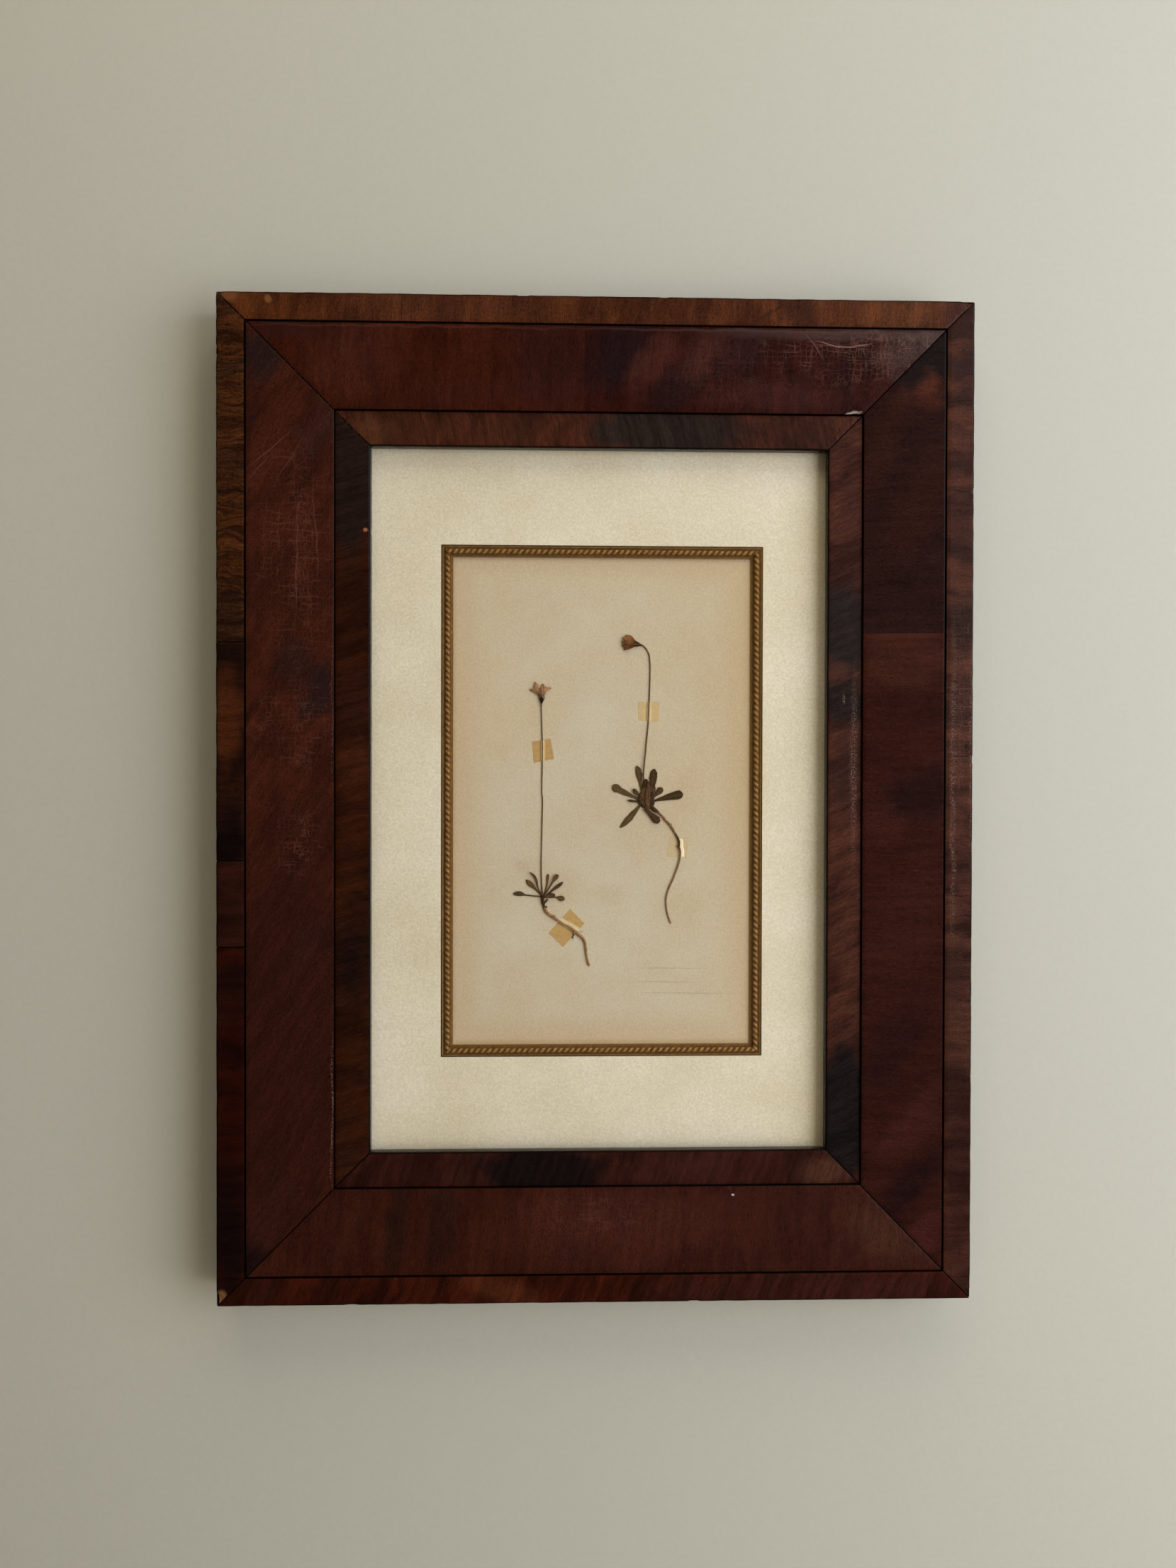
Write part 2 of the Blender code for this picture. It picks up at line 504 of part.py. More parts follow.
def stem_mesh(name, points, samples):
    """A flattened round stem through (x, y, radius, lift) points, lying on the sheet."""
    curve = bpy.data.curves.new(name, "CURVE")
    curve.dimensions = "3D"
    curve.bevel_depth = MM
    curve.bevel_resolution = 1
    curve.use_fill_caps = True
    spline = curve.splines.new("POLY")
    spline.points.add(samples - 1)
    for index, point in enumerate(spline.points):
        x, y, radius, lift = smooth_point(points, index / (samples - 1))
        height = max(lift, 0) / PRESSED + radius
        point.co = (x * MM, y * MM, height * MM, 1)
        point.radius = radius
    mesh = curve_to_mesh(curve, name)
    for vert in mesh.vertices:
        vert.co.z = vert.co.z * PRESSED + GAP
    return mesh


def join_union(base, tools):
    """Fuse tool meshes into the base mesh."""
    holders = [bpy.data.objects.new("fused_%d" % i, mesh) for i, mesh in enumerate([base] + tools)]
    for holder in holders:
        PIECES.objects.link(holder)
    for tool in holders[1:]:
        union = holders[0].modifiers.new("union", "BOOLEAN")
        union.operation = "UNION"
        union.object = tool
    bpy.context.view_layer.update()
    evaluated = holders[0].evaluated_get(bpy.context.evaluated_depsgraph_get())
    mesh = bpy.data.meshes.new_from_object(evaluated)
    for holder in holders:
        bpy.data.objects.remove(holder, do_unlink=True)
    return mesh


def stalk(name, points):
    add_piece(name, stem_mesh(name, points, STEM_STEPS[name]), STALK, parent=SHEET_PLANE)


def root(name, points, spurs):
    body = stem_mesh(name, points, STEM_STEPS[name])
    stubs = []
    for start, end in spurs:
        ends = [(*start, SPUR_LIFT), (*end, SPUR_LIFT)]
        stubs.append(stem_mesh(name + "_spur", ends, STEM_STEPS["spur"]))
    add_piece(name, join_union(body, stubs), ROOT, parent=SHEET_PLANE)


def sheet_plate(name, outline, thickness, material):
    """A plate that lies on the sheet, from an outline in mm."""
    mesh = flat_outline(name, [[(x * MM, y * MM) for x, y in outline]], thickness / 2)
    add_piece(name, mesh, material, parent=SHEET_PLANE, location=(0, 0, GAP + thickness / 2))


def stem_distance(points, x, y):
    """Distance in mm from a place on the sheet to a stem, and the stem's top there."""
    nearest, top = 1e9, 0.0
    samples = 160
    for index in range(samples + 1):
        px, py, radius, lift = smooth_point(points, index / samples)
        distance = math.hypot(px - x, py - y) - radius
        if distance < nearest:
            nearest, top = distance, max(lift, 0) + 2 * radius * PRESSED
    return nearest, top


def tape(name, corners, stem):
    """A strip of clear tape that is stuck down and tents over the stem."""
    mesh = bpy.data.meshes.new(name)
    bm = bmesh.new()
    bmesh.ops.create_grid(bm, x_segments=TAPE_COLUMNS, y_segments=TAPE_ROWS, size=1)
    top_left, top_right, low_right, low_left = [Vector(corner) for corner in corners]
    for vert in bm.verts:
        u, v = (vert.co.x + 1) / 2, (vert.co.y + 1) / 2
        upper = top_left.lerp(top_right, u)
        lower = low_left.lerp(low_right, u)
        place = lower.lerp(upper, v)
        distance, top = stem_distance(stem, place.x, place.y)
        rise = min(max(1 - (distance - TAPE_OVERHANG) / TAPE_TENT, 0), 1)
        rise = rise * rise * (3 - 2 * rise)
        vert.co = (place.x * MM, place.y * MM, GAP + rise * (top * MM + GAP))
    bm.to_mesh(mesh)
    bm.free()
    obj = add_piece(name, mesh, TAPE, parent=SHEET_PLANE)
    solid = obj.modifiers.new("thickness", "SOLIDIFY")
    solid.thickness = TAPE_THICKNESS
    solid.offset = 1


def build_plants():
    for name, spec in {**LEFT_LEAVES, **RIGHT_LEAVES}.items():
        leaf(name, spec)
    sheet_plate("right_crown", RIGHT_CROWN, CROWN_THICKNESS, LEAF)
    stalk("left_stalk", LEFT_STALK)
    stalk("right_stalk", RIGHT_STALK)
    root("left_root", LEFT_ROOT, LEFT_ROOT_SPURS)
    root("right_root", RIGHT_ROOT, RIGHT_ROOT_SPURS)
    sheet_plate("left_flower", LEFT_FLOWER, PETAL_THICKNESS, PINK_PETAL)
    sheet_plate("right_flower", RIGHT_FLOWER, PETAL_THICKNESS, RUST_PETAL)
    for name, (corners, stem) in TAPES.items():
        tape(name, corners, stem)


# ---- hardware on the back ----

def sawtooth_outline():
    half, low = HANGER_LENGTH / 2, -HANGER_HEIGHT / 2
    toothed = HANGER_LENGTH * TOOTHED_SHARE
    points = [(-half, -low), (-half, low)]
    for index in range(HANGER_TEETH):
        left = -toothed / 2 + toothed * index / HANGER_TEETH
        points += [(left, low), (left + toothed / HANGER_TEETH / 2, low + HANGER_TOOTH)]
    return points + [(toothed / 2, low), (half, low), (half, -low)]


def build_hanger():
    """A strip nailed flat at its ends; its toothed middle stands off the wood for the wall's nail."""
    mesh = flat_outline("hanger_plate", [sawtooth_outline()], HANGER_THICKNESS / 2)
    bend_out, bend_in = HANGER_LENGTH * BEND_FAR, HANGER_LENGTH * BEND_NEAR
    bm = bmesh.new()
    bm.from_mesh(mesh)
    for x in (-bend_out, -bend_in, bend_in, bend_out):
        geometry = bm.verts[:] + bm.edges[:] + bm.faces[:]
        bmesh.ops.bisect_plane(bm, geom=geometry, dist=WELD, plane_co=(x, 0, 0), plane_no=(1, 0, 0))
    bmesh.ops.triangulate(bm, faces=bm.faces)
    for vert in bm.verts:
        if abs(vert.co.x) < bend_in + GAP:
            vert.co.z -= HANGER_JOGGLE
    bm.to_mesh(mesh)
    bm.free()
    middle = -WALL_GAP + GAP + HANGER_THICKNESS / 2
    tooth_root = -HANGER_HEIGHT / 2 + HANGER_TOOTH
    add_piece("hanger_plate", mesh, PLATED_STEEL, location=(0, middle, HANGER_DROP - tooth_root),
              rotation=(math.pi / 2, 0, 0))


def build_bumpers():
    thickness = WALL_GAP - GAP
    for name, sign in (("bumper_left", -1), ("bumper_right", 1)):
        mesh = bpy.data.meshes.new(name)
        bm = bmesh.new()
        bmesh.ops.create_cone(bm, cap_ends=True, segments=24, radius1=BUMPER_RADIUS, radius2=BUMPER_RADIUS,
                              depth=thickness)
        bm.to_mesh(mesh)
        bm.free()
        place = (sign * (OUTER_WIDTH / 2 - BUMPER_INSET), -thickness / 2, -OUTER_HEIGHT / 2 + BUMPER_INSET)
        add_piece(name, mesh, FELT, location=place, rotation=(math.pi / 2, 0, 0))


build_rails()
build_fillets()
build_panes()
build_plants()
build_hanger()
build_bumpers()
bpy.context.view_layer.update()
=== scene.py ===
import math

import bmesh
import bpy
from mathutils import Matrix, Vector, noise


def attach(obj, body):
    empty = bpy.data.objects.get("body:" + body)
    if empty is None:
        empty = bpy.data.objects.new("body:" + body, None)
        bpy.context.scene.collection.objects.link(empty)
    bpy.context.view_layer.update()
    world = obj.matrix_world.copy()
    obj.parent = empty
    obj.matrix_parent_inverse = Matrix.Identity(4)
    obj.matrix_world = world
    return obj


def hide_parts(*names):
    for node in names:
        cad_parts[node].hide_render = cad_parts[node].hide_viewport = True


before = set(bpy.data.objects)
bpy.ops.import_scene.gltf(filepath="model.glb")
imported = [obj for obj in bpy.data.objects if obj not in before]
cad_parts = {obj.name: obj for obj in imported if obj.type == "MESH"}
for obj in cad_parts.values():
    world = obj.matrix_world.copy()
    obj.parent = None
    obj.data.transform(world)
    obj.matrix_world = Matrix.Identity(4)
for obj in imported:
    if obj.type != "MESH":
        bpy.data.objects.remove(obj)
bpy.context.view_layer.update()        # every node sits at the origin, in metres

noise.seed_set(7)        # without a seed noise_vector starts from the clock
mm = 0.001
middleHeight = -285.0    # the frame's middle, mm above the hanger's point
sheetFace = -12.3        # the specimen sheet's face, mm on y
railBack = -3.0          # the rails' back, mm on y
sides = ("left", "right", "top", "bottom")


def hexColour(text):
    # sRGB hex to linear red, green, blue, alpha
    parts = [int(text[i:i + 2], 16) / 255 for i in (1, 3, 5)]
    return [p / 12.92 if p <= 0.04045 else ((p + 0.055) / 1.055) ** 2.4 for p in parts] + [1.0]


def fill(tree, node, links):
    # fills a node's inputs, by name or number, with values, hex colours, sockets or nodes
    sockets = [s for s in node.inputs if s.enabled]
    for key, value in links.items():
        socket = sockets[key] if isinstance(key, int) else next(s for s in sockets if s.name == key)
        if isinstance(value, bpy.types.Node):
            value = next(s for s in value.outputs if s.enabled)
        if isinstance(value, bpy.types.NodeSocket):
            tree.links.new(value, socket)
        elif isinstance(value, str):
            socket.default_value = hexColour(value)[:len(socket.default_value)]
        else:
            socket.default_value = value


def add(tree, kind, links=None, stops=(), **settings):
    # adds a node with its settings, its links and, on a colour ramp, its stops
    node = tree.nodes.new("ShaderNode" + kind)
    for setting, value in settings.items():
        setattr(node, setting, value)
    for i, (place, colour) in enumerate(stops):
        point = node.color_ramp.elements[i] if i < 2 else node.color_ramp.elements.new(place)
        point.position = place
        point.color = hexColour(colour)
    fill(tree, node, links or {})
    return node


def startMaterial(name):
    # a material, and a place in mm from the frame's middle to hang patterns on
    material = bpy.data.materials.new(name)
    material.use_nodes = True
    tree = material.node_tree
    tree.nodes.clear()
    place = add(tree, "Mapping", {"Vector": add(tree, "TexCoord").outputs["Object"],
                                  "Scale": (1000, 1000, 1000), "Location": (0, 0, -middleHeight)})
    return material, tree, place


def finish(material, surface, relief=None, clearWhere=None):
    # surface: the shader's inputs; relief: what raises it, how strongly and how far in metres;
    # clearWhere: where light passes straight through
    tree = material.node_tree
    if relief:
        height, strength, distance = relief
        surface["Normal"] = add(tree, "Bump", {"Height": height, "Strength": strength,
                                               "Distance": distance})
    shader = add(tree, "BsdfPrincipled", surface)
    if clearWhere:
        shader = add(tree, "MixShader", {0: clearWhere, 1: shader, 2: add(tree, "BsdfTransparent")})
    add(tree, "OutputMaterial", {"Surface": shader})
    return material


def grainPattern(tree, place, turn, stretch, detail=2.0, rough=0.5):
    # noise drawn out along the grain; stretch is its size across, deep and along, in mm
    turned = add(tree, "Mapping", {"Vector": place, "Rotation": (0, math.radians(turn), 0),
                                   "Scale": stretch}, vector_type="TEXTURE")
    return add(tree, "TexNoise", {"Vector": turned, "Scale": 1.0, "Detail": detail, "Roughness": rough})


def nudge(tree, place, push, reach):
    # moves a pattern's place about; reach is in mm
    far = add(tree, "VectorMath", {0: push, "Scale": reach}, operation="SCALE")
    return add(tree, "VectorMath", {0: place, 1: far}, operation="ADD")


def shade(tree, colour, *patterns):
    # darkens and lightens a colour by patterns, each with its low and high and the tone at either
    tone = None
    for pattern, low, high, dark, bright in patterns:
        part = add(tree, "MapRange", {"Value": pattern, "From Min": low, "From Max": high,
                                      "To Min": dark, "To Max": bright})
        tone = add(tree, "Math", {0: tone, 1: part}, operation="MULTIPLY") if tone else part
    return add(tree, "VectorMath", {0: colour, "Scale": tone}, operation="SCALE")


def blend(tree, colour, other, pattern, low, high, first=0.0, last=1.0, curve="LINEAR"):
    # turns a colour into another as a pattern goes from low to high; first and last are how far
    amount = add(tree, "MapRange", {"Value": pattern, "From Min": low, "From Max": high,
                                    "To Min": first, "To Max": last}, interpolation_type=curve)
    return add(tree, "Mix", {"Factor": amount, "A": colour, "B": other}, data_type="RGBA")


def softSpot(tree, place, spot):
    # an ellipse with a soft edge: x, z, half width, half height (mm), turn (degrees), softness
    x, z, wide, high, turn, soft = spot
    local = add(tree, "Mapping", {"Vector": place, "Location": (x, 0, z), "Scale": (wide, 1000, high),
                                  "Rotation": (0, math.radians(turn), 0)}, vector_type="TEXTURE")
    reach = add(tree, "VectorMath", {0: local}, operation="LENGTH")
    return add(tree, "MapRange", {"Value": reach, "From Min": max(1 - soft, 0), "From Max": 1 + soft,
                                  "To Min": 1.0, "To Max": 0.0}, interpolation_type="SMOOTHSTEP")


def stain(tree, place, colour, spots, broken=None):
    # lays soft spots over a colour, each with its shade and strength; a worn one is broken up
    for *spot, dye, strength, worn in ((*s, "") if s[-1] != "worn" else s for s in spots):
        mask = softSpot(tree, place, spot)
        if worn:
            mask = add(tree, "Math", {0: mask, 1: broken}, operation="MULTIPLY")
        amount = add(tree, "Math", {0: mask, 1: strength}, operation="MULTIPLY")
        colour = add(tree, "Mix", {"Factor": amount, "A": colour, "B": dye}, data_type="RGBA")
    return colour


def makePiece(name, bm, material, replaced=(), smoothAngle=40, thickness=0.0):
    mesh = bpy.data.meshes.new(name)
    bm.to_mesh(mesh)
    bm.free()
    mesh.materials.append(material)
    for face in mesh.polygons:
        face.use_smooth = True
    if smoothAngle < 180:
        mesh.set_sharp_from_angle(angle=math.radians(smoothAngle))
    piece = bpy.data.objects.new(name, mesh)
    bpy.context.scene.collection.objects.link(piece)
    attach(piece, "root")
    if replaced:
        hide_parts(*replaced)
    if thickness:
        solid = piece.modifiers.new("thickness", "SOLIDIFY")
        solid.thickness = thickness * mm
        solid.offset = 1
        solid.use_even_offset = False
    return piece


def dress(node, material):
    # gives a CAD node its finish
    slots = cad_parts[node].material_slots
    for slot in slots:
        slot.material = material
    if not slots:
        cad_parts[node].data.materials.append(material)


# camera: solved from the frame's nested rectangles in the photograph
camera = bpy.data.objects.new("camera", bpy.data.cameras.new("camera"))
bpy.context.scene.collection.objects.link(camera)
camera.data.sensor_width = 36
camera.data.lens = 36 * 1661 / 2212
turnX = Vector((0.99956, -0.029571, 0.002117))
turnY = Vector((-0.001843, 0.0093, 0.999955))
camera.matrix_world = Matrix.Translation((-0.02737, -0.75353, -0.26774)) @ \
    Matrix((turnX, turnY, turnX.cross(turnY))).transposed().to_4x4()
bpy.context.scene.camera = camera
print("camera set")


# ---- room ----
room = {
    "wall": "#b2b0a1", "floor": "#c4c1b8", "floorHeight": -1.3,
    "ambient": 0.016, "backdrop": 0.6, "ambientColour": "#e8dfcf",
    # each light: place, width, height, watts, colour, aims at; only the glint shows in polished things
    "lights": {
        "windowLight": ((1.35, -1.2, -0.4), 1.7, 1.6, 34.5, "#fffbf8", (0.0, 0.0, -0.3)),
        "windowEdge": ((1.1, -0.75, 0.1), 1.2, 1.6, 11, "#b4d0ff", (0.2, 0.0, -0.25)),
        "roomFill": ((-0.2, -2.3, 0.3), 2.8, 2.4, 5.5, "#ffdcae", (0.0, 0.0, -0.28)),
        "ceilingFill": ((0.1, -0.9, 1.5), 1.8, 1.2, 23.4, "#fff7e4", (0.0, 0.0, -0.2)),
        "backFill": ((-0.6, 1.6, 0.5), 1.4, 1.2, 26, "#fff4e6", (0.0, 0.0, -0.3)),
        "windowGlint": ((1.45, -1.15, 0.5), 0.9, 1.2, 5, "#f2f6ff", (0.0, 0.0, -0.25)),
    },
}


def stagePlane(name, halfSize, place, material):
    bm = bmesh.new()
    bmesh.ops.create_grid(bm, x_segments=1, y_segments=1, size=halfSize, matrix=place)
    mesh = bpy.data.meshes.new(name)
    bm.to_mesh(mesh)
    bm.free()
    mesh.materials.append(material)
    plane = bpy.data.objects.new(name, mesh)
    plane.visible_glossy = False
    bpy.context.scene.collection.objects.link(plane)
    return plane


def buildRoom():
    material, tree, place = startMaterial("painted plaster wall")   # matt emulsion, barely mottled
    mottle = add(tree, "TexNoise", {"Vector": place, "Scale": 1 / 3.0, "Detail": 2.0})
    colour = shade(tree, room["wall"], (mottle, 0.3, 0.7, 0.985, 1.015))
    # the wall shows from the front only, so that the back of the frame can be looked at
    facing = add(tree, "NewGeometry").outputs["Backfacing"]
    finish(material, {"Base Color": colour, "Roughness": 0.9}, clearWhere=facing)
    upright = Matrix.Rotation(math.radians(90), 4, "X")
    wall = stagePlane("wall", 3.0, Matrix.Translation((0, 0.0008, 0)) @ upright, material)
    wall.visible_shadow = wall.visible_diffuse = False

    material, tree, _ = startMaterial("pale painted floor")
    finish(material, {"Base Color": room["floor"], "Roughness": 0.8})
    stagePlane("floor", 4.0, Matrix.Translation((0, 0, room["floorHeight"])), material)

    world = bpy.data.worlds.new("soft room light")
    world.use_nodes = True
    tree = world.node_tree
    # the backdrop is pale to look at, but gives little light
    seen = add(tree, "LightPath").outputs["Is Camera Ray"]
    strength = add(tree, "MapRange", {"Value": seen, "To Min": room["ambient"], "To Max": room["backdrop"]})
    fill(tree, tree.nodes["Background"], {"Color": room["ambientColour"], "Strength": strength})
    bpy.context.scene.world = world

    for name, (spot, wide, high, watts, colour, aim) in room["lights"].items():
        lamp = bpy.data.lights.new(name, "AREA")
        lamp.shape = "RECTANGLE"
        lamp.size, lamp.size_y = wide, high
        lamp.energy = watts
        lamp.color = hexColour(colour)[:3]
        holder = bpy.data.objects.new(name, lamp)
        holder.location = spot
        holder.rotation_euler = (Vector(aim) - Vector(spot)).to_track_quat("-Z", "Y").to_euler()
        holder.visible_glossy = holder.visible_transmission = name in ("windowGlint", "backFill")
        holder.visible_diffuse = name != "windowGlint"
        bpy.context.scene.collection.objects.link(holder)
    bpy.context.scene.view_settings.view_transform = "Standard"


buildRoom()
print("room built")


# ---- veneers ----
# Lengths in mm from the frame's middle. grain: lean of the grain from upright, positive to the right.
# shows: how strongly fibres, streaks, flecks and pores show. figure: width and length of the lighter
# patches. A spot is x, z, half width, half height, turn, softness, colour, strength, and "worn" where it
# is broken up like rubbed polish. crazing: where the old polish has crackled, and how strongly.
veneers = {
    "outer_band_top": {"light": "#4f280f", "dark": "#3b1b0a", "grain": 4, "shows": (0.34, 0.16, 0.3, 0.5),
        "spots": [(-119.7, 299, 0.25, 7.5, 3, 0.5, "#140805", 0.9),
                  (-200, 304, 1.9, 2.6, -20, 0.4, "#80502e", 0.6),
                  (-224, 306, 5, 3.5, 0, 0.5, "#74452a", 0.6),
                  (-46, 308.6, 4.2, 0.8, 0, 0.3, "#a5843f", 0.9),
                  (-5.6, 298.2, 1.3, 0.8, 0, 0.5, "#1c0d08", 0.8),
                  (104, 299, 1.0, 9, 58, 0.6, "#2a140b", 0.55), (124, 299, 14, 8, 25, 0.6, "#331a10", 0.6),
                  (182, 300, 22, 10, 0, 0.5, "#653814", 0.4), (224, 303, 12, 9, 0, 0.5, "#3d1f16", 0.6),
                  (-56, 298, 0.3, 3.5, 0, 0.6, "#1c0d08", 0.6),
                  (-100, 301, 60, 12, 0, 0.6, "#46251a", 0.35)]},
    "outer_band_left_1": {"figure": (2.0, 40), "light": "#42220c", "dark": "#2c1408", "grain": 91,
        "shows": (0.5, 0.3, 0.2, 0.8),
        "spots": [(-224, 300, 9, 9, 0, 0.5, "#2a170e", 0.5), (-224, 112, 10, 16, 0, 0.6, "#1d110b", 0.6),
                  (-224, 200, 9, 10, 0, 0.6, "#23150d", 0.5), (-224, 262, 9, 7, 0, 0.7, "#2a190f", 0.5)]},
    "outer_band_left_2": {"light": "#271108", "dark": "#170804", "grain": 90,
        "shows": (0.3, 0.2, 0.16, 0.4),
        "spots": [(-226, 50, 9, 26, 0, 0.5, "#4a220d", 0.7), (-224, 90, 10, 8, 0, 0.6, "#140a06", 0.6),
                  (-224, -22, 10, 18, 0, 0.5, "#0d0605", 0.8)]},
    "outer_band_left_3": {"light": "#2d120a", "dark": "#200b06", "grain": 90,
        "shows": (0.22, 0.2, 0.14, 0.3),
        "spots": []},
    "outer_band_left_4": {"light": "#2a0902", "dark": "#1a0502", "grain": 88,
        "shows": (0.24, 0.24, 0.14, 0.3),
        "spots": [(-224, -270, 11, 45, 0, 0.5, "#0f0605", 0.8),
                  (-229, -303, 3.0, 3.6, 0, 0.5, "#7d5733", 0.8),
                  (-224, -120, 10, 18, 0, 0.6, "#1f0d08", 0.5)]},
    "outer_band_right": {"light": "#442416", "dark": "#2c160e", "grain": 90,
        "shows": (0.26, 0.2, 0.2, 0.45),
        "spots": [(225, 247.3, 7, 0.3, -3, 0.5, "#120807", 0.9),
                  (225, 191.6, 7.4, 0.3, 4, 0.5, "#120807", 0.9),
                  (225, 27.7, 7, 0.28, 0, 0.5, "#120807", 0.8),
                  (225, -58.3, 7, 0.3, 2, 0.5, "#120807", 0.9),
                  (226, -70.6, 6.4, 0.25, -2, 0.5, "#120807", 0.7),
                  (223, 268, 9, 5, 10, 0.6, "#2c1a15", 0.6), (224, 110, 10, 15, 0, 0.5, "#25160f", 0.65),
                  (224, 60, 10, 14, 0, 0.6, "#2a1812", 0.5),
                  (219.8, 30, 1.6, 60, 0, 0.8, "#75594a", 0.5, "worn"),
                  (219.8, -40, 1.4, 40, 0, 0.8, "#75594a", 0.45, "worn"),
                  (230.4, 28, 0.8, 56, 0, 0.6, "#7d5e42", 0.6, "worn"),
                  (224, -230, 11, 60, 0, 0.6, "#280f0b", 0.7), (224, -110, 10, 20, 0, 0.6, "#2a140e", 0.5)],
        "crazing": [(225, 60, 9, 60, 0, 0.6, 0.6)]},
    "outer_band_bottom": {"light": "#391104", "dark": "#270b03", "grain": 24,
        "shows": (0.34, 0.3, 0.18, 0.4),
        "spots": [(130, -301, 90, 12, 0, 0.3, "#2f1510", 0.55), (-205, -300, 10, 9, 0, 0.6, "#241009", 0.6),
                  (-60, -300, 22, 8, 20, 0.6, "#5a2d14", 0.4)]},
    "slope_veneer_top_2": {"light": "#381407", "dark": "#2f0f05", "grain": 2,
        "shows": (0.2, 0.14, 0.22, 0.32),
        "spots": [(-30, 268, 24, 26, 0, 0.6, "#27110d", 0.55), (-190, 286, 22, 5, 0, 0.7, "#2a1512", 0.5),
                  (-150, 270, 26, 20, 0, 0.7, "#47231a", 0.35), (-80, 250, 40, 8, 0, 0.7, "#34150f", 0.4),
                  # the pale line along the slope's top is a painted highlight of its arris
                  (-110, 288.8, 100, 0.7, 0, 0.6, "#5a3a30", 0.22)]},
    "slope_veneer_top_1": {"light": "#2e0d06", "dark": "#220904", "grain": 6,
        "shows": (0.2, 0.14, 0.22, 0.32),
        "spots": [(12, 272, 16, 24, 42, 0.5, "#1d1011", 0.75), (52, 262, 9, 26, 45, 0.6, "#22110f", 0.7),
                  (86, 276, 12, 18, 45, 0.6, "#2a1412", 0.6), (34, 270, 10, 20, 40, 0.6, "#4a2319", 0.5),
                  (64, 274, 9, 14, 40, 0.7, "#4a2318", 0.5), (108, 250, 40, 7, 0, 0.6, "#43201a", 0.4),
                  # grey marks towards the top-right mitre are a painted reflection of window glare
                  (196, 281, 22, 9, -20, 0.6, "#57433c", 0.35), (185, 262, 16, 7, 45, 0.6, "#4d312a", 0.3),
                  (155.8, 240.9, 2.6, 0.6, -8, 0.45, "#96877a", 0.9),
                  (159.3, 241.3, 2.3, 0.8, 10, 0.45, "#8b7b70", 0.85),
                  (162.2, 240.9, 1.3, 0.6, -30, 0.5, "#7d6c60", 0.75),
                  # a grey haze and a pale line along the slope's top are painted sheen and painted highlight
                  (150, 287.0, 66, 3.0, 0, 0.7, "#54423c", 0.3),
                  (100, 288.6, 110, 0.8, 0, 0.7, "#5a4038", 0.25),
                  # pale crack lines at the top right, painted brighter as highlights of the glare
                  (133, 279.4, 0.3, 8, -38, 0.7, "#7d5c52", 0.45),
                  (141, 281.4, 6.4, 0.32, 13, 0.8, "#8d6a5f", 0.6),
                  (151, 280.2, 6.4, 0.32, 1, 0.8, "#8d6a5f", 0.65),
                  (161.5, 281.2, 5.6, 0.32, -10, 0.8, "#8d6a5f", 0.6)],
        # the crackle is strongest at the top right, partly a painted highlight of the glare there
        "crazing": [(156, 273, 50, 15, 0, 0.6, 1.0), (176, 280, 34, 9, 0, 0.5, 1.3),
                    (80, 265, 34, 14, 0, 0.9, 0.3)]},
    "slope_veneer_left": {"light": "#3a170a", "dark": "#2d1107", "grain": 30,
        "shows": (0.2, 0.14, 0.22, 0.32), "crazeColour": "#75483a",
        "spots": [(-204, 272, 14, 18, 40, 0.6, "#1f1412", 0.7), (-168, 232, 9, 26, 35, 0.7, "#251613", 0.5),
                  (-172, 66, 9, 18, 24, 0.5, "#1d1212", 0.75), (-186, 84, 12, 10, 60, 0.6, "#241311", 0.5),
                  (-188, -150, 34, 130, 0, 0.5, "#2a1009", 0.75),
                  (-176, -90, 10, 22, 30, 0.6, "#2a1310", 0.5),
                  (-214, -286, 12, 20, 12, 0.5, "#120808", 0.85),
                  (-200, -250, 9, 20, 30, 0.6, "#301410", 0.5),
                  # pale worn lines along the inner arris: partly wear, partly a painted highlight where the
                  # arris catches the light
                  (-163.0, -193, 0.6, 44, 0, 0.5, "#8a6654", 0.7, "worn"),
                  (-163.0, 60, 0.5, 50, 0, 0.5, "#6a4c42", 0.5, "worn"),
                  (-200, 214, 0.3, 15, 48, 0.8, "#5e3a30", 0.5),
                  (-206, 203, 0.3, 9, 40, 0.8, "#5e3a30", 0.45),
                  (-190, 205, 0.25, 12, 30, 0.8, "#5e3a30", 0.4),
                  (-184, 150, 0.3, 34, 1, 0.8, "#643e34", 0.4),
                  (-173, 168, 0.3, 24, -3, 0.8, "#643e34", 0.4),
                  (-179, 165, 13, 0.25, 4, 0.8, "#643e34", 0.35),
                  (-210, 232, 2.0, 1.6, 0, 0.5, "#170c0a", 0.7)],
        "crazing": [(-186, 48, 21, 26, 0, 0.5, 0.9), (-183, -24, 13, 22, 0, 0.5, 0.9),
                    (-184, 150, 22, 55, 0, 0.6, 0.9), (-190, 200, 18, 22, 0, 0.7, 0.6)]},
    "slope_veneer_right_2": {"light": "#26120d", "dark": "#23100b", "grain": 88,
        "shows": (0.2, 0.14, 0.22, 0.32),
        "spots": [(204, 277, 22, 17, 0, 0.3, "#191311", 0.92), (186, 262, 12, 7, 44, 0.4, "#191311", 0.85),
                  (203.5, 254, 7, 9, 20, 0.7, "#55291b", 0.6), (190, 250, 6, 9, 30, 0.8, "#3d1c15", 0.5),
                  (196, 262, 5, 6, 40, 0.8, "#1d1412", 0.6), (200, 185, 12, 30, 25, 0.7, "#33160f", 0.5),
                  (175, 215, 9, 25, 20, 0.7, "#371a13", 0.4)]},
    "slope_veneer_right_1": {"light": "#31130c", "dark": "#2d110b", "grain": 89,
        "shows": (0.2, 0.14, 0.22, 0.32),
        "spots": [(188, 88, 26, 17, 0, 0.4, "#432215", 0.45), (190, 104, 26, 2.5, 0, 0.5, "#4a2a1c", 0.3),
